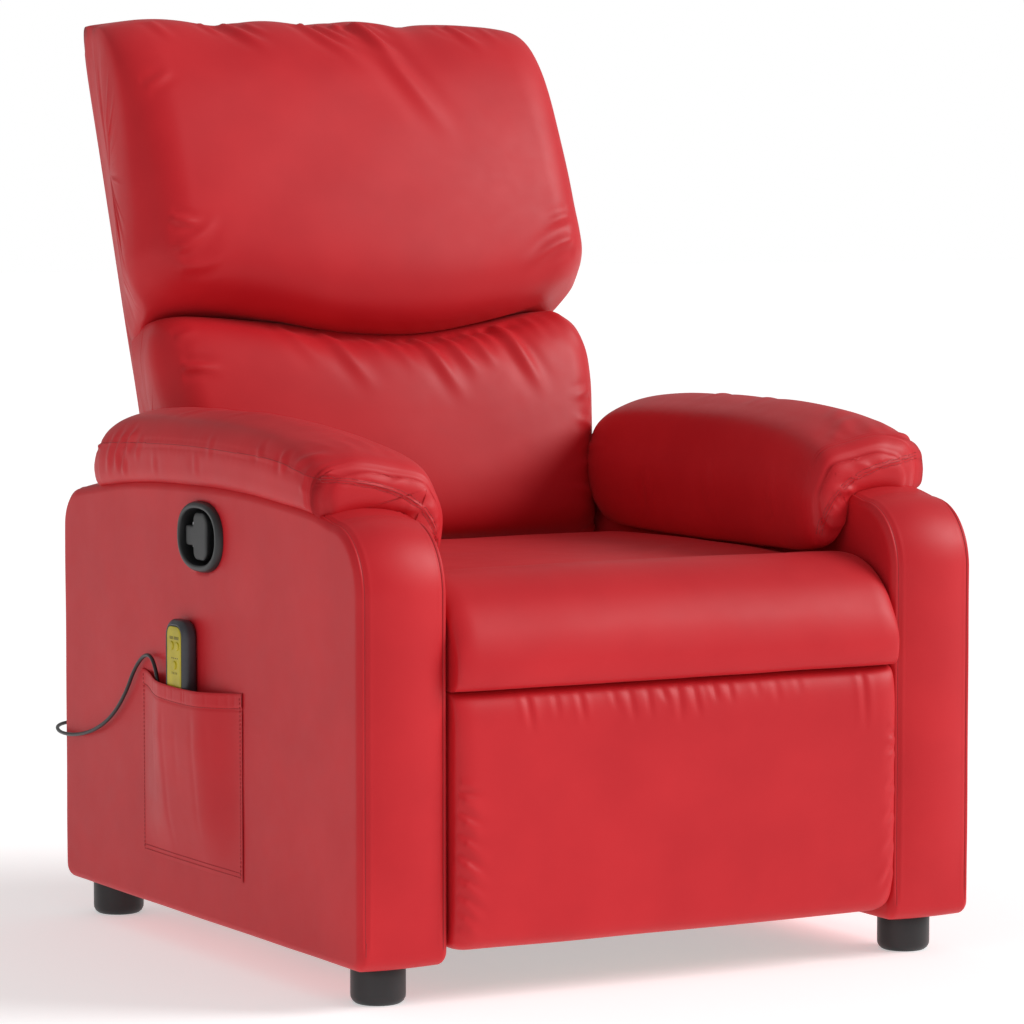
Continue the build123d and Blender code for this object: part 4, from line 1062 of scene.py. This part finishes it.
def make_lumbar():
    """Lower cushion of the back, gathered under the head cushion."""
    full = (
        (0.078, 0.014), (0.07, 0.08), (0.073, 0.118), (0.09, 0.14), (0.13, 0.151), (0.19, 0.158),
        (0.25, 0.1605), (0.3, 0.158), (0.332, 0.15), (0.354, 0.135), (0.368, 0.11), (0.3715, 0.078),
        (0.37, 0.014), (0.22, 0.011))
    edge = (
        (0.074, 0.014), (0.072, 0.06), (0.076, 0.082), (0.094, 0.093), (0.132, 0.0965), (0.19, 0.098),
        (0.25, 0.099), (0.297, 0.098), (0.328, 0.095), (0.35, 0.088), (0.364, 0.076), (0.369, 0.056),
        (0.37, 0.014), (0.22, 0.011))
    rows = bar_rows(full, edge, 0.042, 250, broad=0.45)
    for row in rows:
        high = np.clip((row[:, 1] - 0.22) / 0.14, 0, 1)
        row[:, 1] -= head_sag(row[0, 0]) * high * np.clip((row[:, 2] - 0.06) / 0.06, 0, 1)
    rows = puff(closing(rows, 0.003), (
        (0.05, 0.27), (0.1, 0.276), (0.16, 0.28), (0.22, 0.289), (0.27, 0.297), (0.31, 0.299),
        (0.34, 0.294), (0.36, 0.284), (0.38, 0.274)))
    skin = Skin(leaned(rows))
    # gathers under the head cushion, leaning towards the sitter's left
    for x, drop, lean, depth, width in (
        (-0.136, 0.07, 0.04, 1.8, 6.5), (-0.08, 0.095, 0.05, 3.2, 7.5), (-0.03, 0.045, 0.02, 1.2, 5.0),
        (0.0, 0.06, 0.03, 2.0, 6.0), (0.024, 0.045, 0.022, 1.6, 5.0), (0.046, 0.1, 0.045, 4.0, 7.0),
        (0.066, 0.04, 0.018, 2.4, 5.0), (0.082, 0.07, 0.035, 3.8, 6.0), (0.102, 0.04, 0.018, 1.8, 4.5),
        (0.116, 0.065, 0.028, 3.0, 5.5), (0.14, 0.05, 0.02, 2.0, 5.0), (0.164, 0.11, 0.046, 5.4, 7.5),
        (0.212, 0.045, 0.014, 1.6, 5.0), (0.256, 0.075, 0.04, 2.2, 7.0),
    ):
        top = 0.366 - head_sag(x)
        front_mark(skin, [(x, top), (x + lean * 0.35, top - drop * 0.42), (x + lean, top - drop)],
                   0.8 * depth, 1.15 * width, fade=(0.04, 0.7))
    # tucks at the two side seams
    for side, v, length, rise, depth in (
        (-1, 0.292, 0.05, -0.004, 3.0), (-1, 0.225, 0.06, -0.012, 2.4), (-1, 0.33, 0.03, 0.01, 1.2),
        (1, 0.25, 0.04, -0.012, 1.3), (1, 0.205, 0.04, 0.01, 1.3), (1, 0.165, 0.045, -0.015, 1.8),
        (1, 0.12, 0.06, 0.006, 2.0), (1, 0.085, 0.05, -0.026, 2.0),
    ):
        start = side * SIDE_SEAM
        front_mark(skin, [(start, v), (start - side * length * 0.5, v + rise * 0.6),
                          (start - side * length, v + rise)], depth, 5.0, fade=(0.05, 0.7))
    for end in (-1, 1):
        line = skin.land(leaned([(end * 0.5, v, 0.052) for v in (0.09, 0.2, 0.36)]), (-end, 0, 0), 3 * MM)
        puckers(skin, line, 61 + end, spacing=14 * MM, depth=1.1 * MM, reach=22 * MM)
        seam(skin, line, 0.9 * MM, 1.7 * MM, ridge=0.3)
    skin.ripple(1.2 * MM, 0.16, 34)
    skin.refresh()
    skin.make("lumbar_pad", LEATHER, "back", "upholstery", ("lumbar_cushion",), fill=0.85)
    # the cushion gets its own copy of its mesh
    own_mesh(bpy.data.objects["lumbar_pad"])


def make_head():
    """Upper cushion of the back, which hangs over the lumbar cushion."""
    full = (
        (0.374, 0.014), (0.373, 0.09), (0.3745, 0.128), (0.384, 0.155), (0.402, 0.171), (0.428, 0.18),
        (0.47, 0.183), (0.525, 0.181), (0.58, 0.1755), (0.63, 0.1665), (0.668, 0.156), (0.702, 0.141),
        (0.731, 0.12), (0.75, 0.092), (0.759, 0.054), (0.759, 0.014), (0.57, 0.011))
    edge = (
        (0.374, 0.014), (0.374, 0.058), (0.38, 0.08), (0.394, 0.093), (0.42, 0.101), (0.45, 0.107),
        (0.5, 0.113), (0.55, 0.118), (0.6, 0.121), (0.64, 0.121), (0.674, 0.117), (0.704, 0.108),
        (0.728, 0.094), (0.746, 0.073), (0.753, 0.048), (0.753, 0.014), (0.57, 0.011))
    rows = bar_rows(full, edge, 0.054, 270, broad=0.28)
    for row in rows:
        x = row[0, 0]
        low = np.clip((0.5 - row[:, 1]) / 0.12, 0, 1)
        row[:, 1] -= head_sag(x) * low * np.clip((row[:, 2] - 0.05) / 0.06, 0, 1)
        wavy = sum(height * math.exp(-((x - place) / width) ** 2) for place, height, width in HEAD_WAVES)
        row[:, 1] += wavy * np.clip((row[:, 1] - 0.66) / 0.08, 0, 1)
    rows = puff(closing(rows, 0.003), (
        (0.34, 0.276), (0.375, 0.286), (0.4, 0.302), (0.43, 0.311), (0.46, 0.31), (0.5, 0.306),
        (0.58, 0.302), (0.64, 0.299), (0.7, 0.296), (0.735, 0.292), (0.77, 0.286)))
    skin = Skin(leaned(rows))
    # folds from the top edge, leaning towards the sitter's left
    for x, drop, lean, depth, width in (
        (-0.165, 0.03, 0.022, 1.8, 5.0), (-0.134, 0.055, 0.046, 3.8, 7.5),
        (-0.105, 0.03, 0.02, 1.4, 5.0), (-0.03, 0.075, 0.062, 3.4, 7.0),
        (-0.008, 0.045, 0.044, 2.8, 6.0), (0.016, 0.04, 0.03, 2.0, 5.0), (0.04, 0.07, 0.048, 3.6, 7.0),
        (0.044, 0.19, 0.084, 3.0, 11.0), (0.062, 0.045, 0.026, 1.8, 5.5), (0.176, 0.05, 0.04, 2.8, 6.5),
        (0.158, 0.03, 0.024, 1.4, 5.0), (0.222, 0.04, 0.02, 1.2, 6.0), (-0.235, 0.04, 0.02, 1.4, 6.0),
    ):
        front_mark(skin, [(x, HEAD_TOP), (x + lean * 0.35, HEAD_TOP - drop * 0.45),
                          (x + lean, HEAD_TOP - drop)], depth, width, fade=(0.05, 0.65))
    # tuck at the low left corner, crumples at the low right one
    for line, depth, width in (
        ([(0.275, 0.44), (0.235, 0.425), (0.19, 0.395)], 2.8, 7.0),
        ([(0.276, 0.47), (0.25, 0.462), (0.225, 0.45)], 1.6, 5.0),
        ([(-0.276, 0.47), (-0.25, 0.462), (-0.232, 0.466)], 2.6, 4.5),
        ([(-0.274, 0.43), (-0.245, 0.445), (-0.215, 0.47)], 2.0, 6.0),
        ([(-0.27, 0.41), (-0.235, 0.412), (-0.2, 0.43)], 1.6, 6.0),
        ([(-0.276, 0.64), (-0.25, 0.655), (-0.235, 0.668)], 1.3, 5.0),
    ):
        front_mark(skin, line, depth, width)
    # side seams with their crumples
    for end in (-1, 1):
        wave = [(0.735, 0.05), (0.7, 0.052), (0.66, 0.06), (0.62, 0.054), (0.58, 0.064), (0.54, 0.056),
                (0.5, 0.068), (0.46, 0.06), (0.42, 0.064), (0.395, 0.056)]
        track = skin.land(leaned([(end * 0.5, v, w) for v, w in wave]), (-end, 0, 0), 3 * MM)
        puckers(skin, track, 71 + end, spacing=17 * MM, depth=1.8 * MM, reach=34 * MM)
        seam(skin, track, 0.9 * MM, 1.7 * MM, ridge=0.3)
    skin.ripple(1.4 * MM, 0.17, 35)
    skin.refresh()
    skin.make("head_pad", LEATHER, "back", "upholstery", ("head_cushion",), fill=0.85)


def make_shell():
    """Upholstered rear of the back: soft-edged panel with a seam round its rear face."""
    full = (
        (0.006, 0.055), (0.002, 0.044), (0.001, 0.02), (0.006, 0.004), (0.02, -0.001), (0.1, -0.003),
        (0.38, -0.005), (0.64, -0.003), (0.735, -0.001), (0.752, 0.005), (0.7595, 0.018), (0.76, 0.036),
        (0.757, 0.046), (0.7, 0.056), (0.38, 0.056), (0.06, 0.056))
    edge = (
        (0.012, 0.053), (0.008, 0.044), (0.008, 0.024), (0.013, 0.012), (0.026, 0.008), (0.1, 0.006),
        (0.38, 0.006), (0.64, 0.006), (0.728, 0.008), (0.742, 0.014), (0.749, 0.024), (0.7495, 0.036),
        (0.747, 0.044), (0.7, 0.05), (0.38, 0.05), (0.06, 0.05))
    rows = bar_rows(full, edge, 0.016, 220)
    rows[:, :, 0] *= 0.992  # a little narrower than the seat
    skin = Skin(leaned(closing(rows, 0.001)))
    behind = tuple(-c for c in INTO_BACK)
    corners = [
        (-0.262, 0.03), (-0.2635, 0.2), (-0.264, 0.38), (-0.2635, 0.56), (-0.262, 0.7), (-0.255, 0.726),
        (-0.238, 0.733), (-0.12, 0.735), (0, 0.736), (0.12, 0.735), (0.238, 0.733), (0.255, 0.726),
        (0.262, 0.7), (0.2635, 0.56), (0.264, 0.38), (0.2635, 0.2), (0.262, 0.03),
    ]
    track = skin.land(leaned([(x, v, -0.3) for x, v in corners]), behind, 3 * MM)
    puckers(skin, track, 81, spacing=30 * MM, depth=0.6 * MM, reach=22 * MM)
    for line in ([(-0.2, 0.6), (-0.05, 0.57), (0.1, 0.6)], [(0.22, 0.3), (0.12, 0.22), (0.06, 0.1)],
                 [(-0.23, 0.2), (-0.15, 0.14), (-0.1, 0.06)]):
        skin.press(leaned([(x, v, -0.3) for x, v in line]), behind, 1.5, 14, 0.5)
    seam(skin, track, 1.5 * MM, 2.0 * MM)
    skin.ripple(1.3 * MM, 0.16, 36)
    skin.refresh()
    skin.make("back_rear_cover", LEATHER, "back", "upholstery", ("back_shell",), fill=0.7)
    threads = Threads()
    threads.stitch(skin.tree, skin.land(track, None, 3 * MM))
    threads.make("back_stitching", "back")


# ---- side pocket ---------------------------------------------------------------------------------
POCKET_FRONT, POCKET_REAR = FRONT + 0.262, FRONT + 0.524
POCKET_WIDE = 0.262                  # distance between the two
POCKET_LOW = 0.102                   # height of its bottom seam
HEM = 0.313                          # height of its hem at the front edge
POCKET_TALL = 0.211                  # from the bottom seam to the hem
POCKET_BELLY = 0.0192                # how far its middle stands off the arm
HEM_DEEP = 0.017                     # height of the hem's fold
SHEET_THICK = 0.0016


def pocket_height(y):
    """Height of the pocket's hem at a distance along it."""
    share = (y - POCKET_FRONT) / (POCKET_REAR - POCKET_FRONT)
    return HEM + 0.003 * share - 0.012 * (1 - (2 * share - 1) ** 2) * 0.6


def pocket_sheet():
    """Rows from the hem down: a slightly bellied panel that meets the arm at its sides and bottom."""
    rows = []
    for down in np.linspace(0, 1, 110):
        row = []
        for along in np.linspace(0, 1, 130):
            y = POCKET_FRONT + (POCKET_REAR - POCKET_FRONT) * along
            top = pocket_height(y)
            z = top + (POCKET_LOW - top) * down
            side = min(1, min(along, 1 - along) / 0.34)
            low = min(1, (1 - down) / 0.35)
            held = (3 - 2 * side) * side**2 * math.sin(low * math.pi / 2)
            belly = POCKET_BELLY * (1 - 0.6 * max(0, down - 0.3) / 0.7) * held
            row.append((PANEL - 0.0012 - belly, y, z))
        rows.append(row)
    return np.array(rows)


def make_pocket():
    """Sewn-on side pocket with a folded hem, soft wrinkles and stitching."""
    outside = pocket_sheet()
    inside = outside.copy()
    inside[:, :, 0] += SHEET_THICK
    inside[:, :, 0] = np.minimum(inside[:, :, 0], PANEL - 0.0003)
    n, m = outside.shape[:2]
    # wrinkles of the panel and of the hem
    rng = random.Random(91)
    points = outside.reshape(-1, 3)
    move = np.zeros(len(points))
    marks = [(0.24, 0.12, 0.45, 0.5), (0.36, 0.12, 0.85, 0.8), (0.52, 0.2, 0.6, 0.5),
             (0.66, 0.12, 0.95, 0.9), (0.8, 0.12, 0.7, 0.5)]
    for along, top, bottom, depth in marks:
        y0 = POCKET_FRONT + POCKET_WIDE * along
        lean = rng.uniform(-0.006, 0.006)
        share = (HEM - points[:, 2]) / POCKET_TALL
        centre = y0 + lean * share
        inside_band = np.clip((share - top) / 0.1, 0, 1) * np.clip((bottom - share) / 0.2, 0, 1)
        move += depth * 0.0006 * inside_band * np.exp(-(((points[:, 1] - centre) / 0.0065) ** 2))
    for k in range(14):
        y0 = POCKET_FRONT + POCKET_WIDE * (k + rng.uniform(0.0, 1.0)) / 14
        share = (pocket_height(y0) - points[:, 2]) / HEM_DEEP
        band = np.clip(share / 0.2, 0, 1) * np.clip((1.0 - share) / 0.3, 0, 1)
        move += rng.uniform(0.2, 1.0) * 0.0007 * band * np.exp(-(((points[:, 1] - y0) / 0.0016) ** 2))
    share = (np.array([pocket_height(y) for y in points[:, 1]]) - points[:, 2]) / HEM_DEEP
    move += 0.0011 * np.exp(-(((share - 1.0) / 0.09) ** 2)) - 0.0006 * ((share > 0) & (share < 0.93))
    points[:, 0] += move
    outside = points.reshape(n, m, 3)
    lip = (outside[:1] + inside[:1]) / 2 + (0, 0, 0.0008)
    rows = np.vstack([outside[::-1], lip, inside])
    verts = rows.reshape(-1, 3)
    index = np.arange(len(verts)).reshape(rows.shape[:2])
    faces = np.stack([index[:-1, :-1], index[:-1, 1:], index[1:, 1:], index[1:, :-1]], -1).reshape(-1, 4)
    panel = mesh_object("pocket_panel", verts, faces[:, ::-1].tolist(), LEATHER, "base",
                        ("side_pocket",))
    front = faces.reshape(len(rows) - 1, m - 1, 4)[:n - 1, :, ::-1]
    tree = BVHTree.FromPolygons(verts.tolist(), front.reshape(-1, 4).tolist())

    def on_panel(y, z):
        hit = tree.ray_cast(Vector((PANEL - 0.2, y, z)), Vector((1, 0, 0)))[0]
        return tuple(hit) if hit else (PANEL - 0.003, y, z)

    threads = Threads()
    places = np.linspace(POCKET_FRONT + 0.004, POCKET_REAR - 0.004, 60)
    threads.stitch(tree, np.array([on_panel(y, pocket_height(y) - 0.0165) for y in places]))
    for rise in (0.005, 0.01):
        threads.stitch(tree, np.array([on_panel(y, POCKET_LOW + rise) for y in places]))
    for y in (POCKET_FRONT + 0.0045, POCKET_REAR - 0.0045):
        heights = np.linspace(POCKET_LOW + 0.006, pocket_height(y) - 0.004, 50)
        threads.stitch(tree, np.array([on_panel(y, z) for z in heights]))
    threads.make("pocket_stitching", "base")


# ---- handle, handset and feet --------------------------------------------------------------------
def superellipse(a, b, power, count):
    """Outline between an ellipse and a rectangle, half sizes a and b."""
    turn = np.linspace(0, 2 * math.pi, count, endpoint=False)
    c, s = np.cos(turn), np.sin(turn)
    return np.stack([a * np.sign(c) * np.abs(c) ** (2 / power),
                     b * np.sign(s) * np.abs(s) ** (2 / power)], -1)


def rounded_box(a, b, radius, count):
    """Outline of a rectangle with round corners, half sizes a and b."""
    points = []
    for cx, cy, start in ((1, 1, 0), (-1, 1, 90), (-1, -1, 180), (1, -1, 270)):
        for angle in np.linspace(start, start + 90, 12):
            turn = math.radians(angle)
            points.append((cx * (a - radius) + radius * math.cos(turn),
                           cy * (b - radius) + radius * math.sin(turn)))
    return even(points, count, True)


def panel_ring(outline, out, y, z):
    """An outline centred on (y, z), a distance out of the side panel."""
    return np.column_stack([np.full(len(outline), PANEL - out), y + outline[:, 0], z + outline[:, 1]])


def level_ring(x, y, z, radius, count):
    """A horizontal circle of points."""
    turn = np.linspace(0, 2 * math.pi, count, endpoint=False)
    return np.column_stack([x + radius * np.cos(turn), y + radius * np.sin(turn), np.full(count, z)])


def make_bezel():
    """Oval surround of the release handle, with a deep finger cup."""
    rows = []
    for depth, a, b in (
        (0.0005, 0.054, 0.04), (0.0025, 0.0538, 0.0398), (0.0055, 0.053, 0.039),
        (0.0074, 0.0515, 0.0375), (0.008, 0.0495, 0.0357), (0.008, 0.0472, 0.0336),
        (0.0076, 0.0462, 0.0326), (0.0062, 0.0457, 0.032), (0.0, 0.0455, 0.0318),
        (-0.01, 0.0453, 0.0316), (-0.018, 0.045, 0.0313), (-0.0205, 0.043, 0.0295),
        (-0.0215, 0.03, 0.02), (-0.0216, 0.01, 0.007)):
        rows.append(panel_ring(superellipse(a, b, 2.35, 120), depth, HANDLE_Y, HANDLE_Z))
    skin = Skin(rows, hubs=(False, True))
    skin.make("handle_surround", BLACK, "base", "black_plastic", ("handle_bezel",))


def make_paddle():
    """T-shaped pull: one outline for the wide grip and its narrow rear tab."""
    grip = [
        (-0.016, 0.019), (-0.009, 0.027), (0.012, 0.027), (0.018, 0.022), (0.018, 0.0115), (0.0385, 0.011),
        (0.0385, -0.011), (0.018, -0.0115), (0.018, -0.022), (0.012, -0.027), (-0.009, -0.027),
        (-0.016, -0.019),
    ]
    outline = []
    for k, (y, z) in enumerate(grip):
        before, after = np.array(grip[k - 1]), np.array(grip[(k + 1) % len(grip)])
        here = np.array((y, z))
        cut = min(0.003, np.linalg.norm(here - before) / 2.2, np.linalg.norm(here - after) / 2.2)
        outline.append(here + unit(before - here) * cut)
        outline.append(here + unit(before - here) * cut * 0.3 + unit(after - here) * cut * 0.3)
        outline.append(here + unit(after - here) * cut)
    outline = even(outline, 160, True)
    rows = []
    for depth, inset in ((-0.008, 0.0), (0.0018, 0.0), (0.0028, 0.0006), (0.0032, 0.0018), (0.0033, 0.006)):
        centre = outline.mean(0)
        shape = outline + unit(centre - outline) * inset
        rows.append(panel_ring(shape, depth, HANDLE_Y, HANDLE_Z))
    skin = Skin(rows, hubs=(True, True))
    skin.make("handle_pull", BLACK, "handle", "black_plastic", ("handle_paddle",))


HANDSET_Y, HANDSET_Z = FRONT + 0.403, 0.31


def make_handset():
    """Round-cornered case with a raised rim, and the yellow membrane set into it."""
    rows = []
    for depth, inset in (
        (0.0006, 0.0045), (0.0012, 0.0025), (0.003, 0.0008), (0.006, 0.0), (0.011, 0.0), (0.0135, 0.001),
        (0.0152, 0.0026), (0.0166, 0.0048), (0.0169, 0.0056), (0.0166, 0.0063), (0.0158, 0.0066)):
        shape = rounded_box(0.0265 - inset, 0.074 - inset, 0.019 - inset * 0.8, 140)
        rows.append(panel_ring(shape, 1.05 * depth, HANDSET_Y, HANDSET_Z))
    Skin(rows).make("handset_shell", HANDSET_GREY, "base", "handset_plastic", ("handset_case",))
    rows = []
    for depth, inset in ((0.015, 0.0066), (0.0161, 0.0067), (0.0163, 0.0072), (0.0163, 0.012)):
        shape = rounded_box(0.025 - inset, 0.0725 - inset, 0.016 - inset * 0.8, 140)
        rows.append(panel_ring(shape, 1.05 * depth, HANDSET_Y + 0.0015, HANDSET_Z))
    Skin(rows).make("handset_membrane", MEMBRANE, "base", "membrane", ("handset_face",))


def make_strain_relief():
    """Tapered sleeve where the cord leaves the bottom of the handset."""
    x, y, z = CORD_POINTS[0]
    rows = []
    for drop, radius in ((-0.004, 0.0048), (0.0, 0.0048), (0.004, 0.0046), (0.01, 0.0038), (0.017, 0.003),
                         (0.022, 0.0026), (0.0225, 0.0023)):
        rows.append(level_ring(x, y, z - drop, radius, 32))
    Skin(rows, turn_out=True).make("cord_relief", RUBBER, "base", "cord_rubber")


def make_icons():
    """Small generic dashes printed on the membrane."""
    verts, faces = [], []

    def dash(y, z, wide, tall):
        base = len(verts)
        for dy, dz in ((-1, -1), (1, -1), (1, 1), (-1, 1)):
            for x in (PANEL - 0.01725, PANEL - 0.01725 + 0.0003):
                verts.append((x, HANDSET_Y + y + dy * wide / 2, HANDSET_Z + z + dz * tall / 2))
        for k in range(4):
            a, b = base + 2 * k, base + 2 * ((k + 1) % 4)
            faces.append((a, b, b + 1, a + 1))
        faces.append((base, base + 2, base + 4, base + 6)[::-1])

    for k in range(4):
        dash(-0.01 + k * 0.0032, 0.053, 0.0018, 0.0034)
        dash(0.004 + k * 0.0024, 0.053, 0.0012, 0.0034)
        dash(-0.008 + k * 0.0048, 0.03, 0.0022, 0.0012)
        dash(-0.006 + k * 0.004, 0.013, 0.0012, 0.0026)
        dash(-0.009 + k * 0.005, -0.005, 0.0028, 0.001)
        dash(0.0005, -0.011 - k * 0.0035, 0.001, 0.002)
    mesh_object("membrane_marks", verts, faces, PRINT, "base")


def make_keys():
    """The three soft keys of the handset."""
    places = ((-0.007, 0.044), (0.007, 0.044), (0.0, 0.022))
    for number, (y, z) in enumerate(places, start=1):
        rows = []
        for depth, radius in ((0.0165, 0.005), (0.0176, 0.005), (0.0181, 0.0046), (0.0182, 0.0036)):
            rows.append(panel_ring(superellipse(radius, radius, 2, 40), depth, HANDSET_Y + y, HANDSET_Z + z))
        Skin(rows).make(f"membrane_key_{number}", MEMBRANE, f"key_{number}", "key_rubber", (f"key_{number}",))


def make_feet():
    """Round feet, turned with a small bevel at the floor."""
    for node in ("foot_front_right", "foot_front_left", "foot_rear_right", "foot_rear_left"):
        low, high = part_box(node)
        radius = (high.x - low.x) / 2
        rows = []
        for z, r in ((0.0, radius - 0.0065), (0.0006, radius - 0.005), (0.003, radius - 0.0022),
                     (0.0065, radius - 0.0004), (0.01, radius), (0.03, radius), (0.0415, radius),
                     (0.043, radius - 0.0008), (0.0438, radius - 0.002)):
            rows.append(level_ring((low.x + high.x) / 2, (low.y + high.y) / 2, z, r, 96))
        Skin(rows).make(node + "_glide", BLACK, "base", "black_plastic", (node,))


# ---- stage ---------------------------------------------------------------------------------------
SUN_PLACE, SUN_POWER, SUN_SPREAD = (4.3, -2.4, 3.4), 2.15, math.radians(28)
FILL_PLACE, FILL_POWER, FILL_SIZE = (-4.2, -1.6, 1.6), 10, 3.0
AMBIENT = 0.38                       # strength of the white world as a light
FLOOR_GLOW = 0.44                    # keeps the floor as pale as the world behind it
FLOOR_HALF = 30.0
AIM = Vector((0, 0, 0.5))            # point that both lights are turned to


def make_stage():
    """Pale floor, a sun, a soft fill light, and a world that is white to the camera and dimmer as a light."""
    mesh = bpy.data.meshes.new("floor")
    s = FLOOR_HALF
    mesh.from_pydata([(-s, -s, 0), (s, -s, 0), (s, s, 0), (-s, s, 0)], [], [(0, 1, 2, 3)])
    floor = bpy.data.objects.new("floor", mesh)
    bpy.context.scene.collection.objects.link(floor)
    floor_material, _, shader = new_material("pale_floor", (0.86, 0.86, 0.86), 0.9)
    shader.inputs["Specular IOR Level"].default_value = 0.1
    shader.inputs["Emission Color"].default_value = (1, 1, 1, 1)
    shader.inputs["Emission Strength"].default_value = FLOOR_GLOW
    mesh.materials.append(floor_material)
    world = bpy.data.worlds.new("studio")
    world.use_nodes = True
    tree = world.node_tree
    shown = tree.nodes["Background"]
    shown.inputs["Color"].default_value = (1, 1, 1, 1)
    shown.inputs["Strength"].default_value = 1.0
    ambient = tree.nodes.new("ShaderNodeBackground")
    ambient.inputs["Color"].default_value = (1, 1, 1, 1)
    ambient.inputs["Strength"].default_value = AMBIENT
    rays = tree.nodes.new("ShaderNodeLightPath")
    mix = tree.nodes.new("ShaderNodeMixShader")
    tree.links.new(rays.outputs["Is Camera Ray"], mix.inputs["Fac"])
    tree.links.new(ambient.outputs["Background"], mix.inputs[1])
    tree.links.new(shown.outputs["Background"], mix.inputs[2])
    tree.links.new(mix.outputs["Shader"], tree.nodes["World Output"].inputs["Surface"])
    bpy.context.scene.world = world
    bpy.context.scene.view_settings.view_transform = "Standard"
    sun = bpy.data.lights.new("key", "SUN")
    sun.energy = SUN_POWER
    sun.angle = SUN_SPREAD
    data = bpy.data.lights.new("fill", "AREA")
    data.shape = "DISK"
    data.size = FILL_SIZE
    data.energy = FILL_POWER
    for light, place in ((sun, SUN_PLACE), (data, FILL_PLACE)):
        lamp = bpy.data.objects.new(light.name, light)
        bpy.context.scene.collection.objects.link(lamp)
        lamp.location = place
        lamp.rotation_euler = (AIM - Vector(place)).to_track_quat("-Z", "Y").to_euler()


for side, name in ((-1, "right"), (1, "left")):
    make_arm(side, name)
    make_pad(side, name)
make_seat()
make_roll()
make_footrest()
make_lumbar()
make_head()
make_shell()
make_pocket()
make_bezel()
make_paddle()
make_handset()
make_strain_relief()
make_icons()
make_keys()
make_feet()
make_stage()
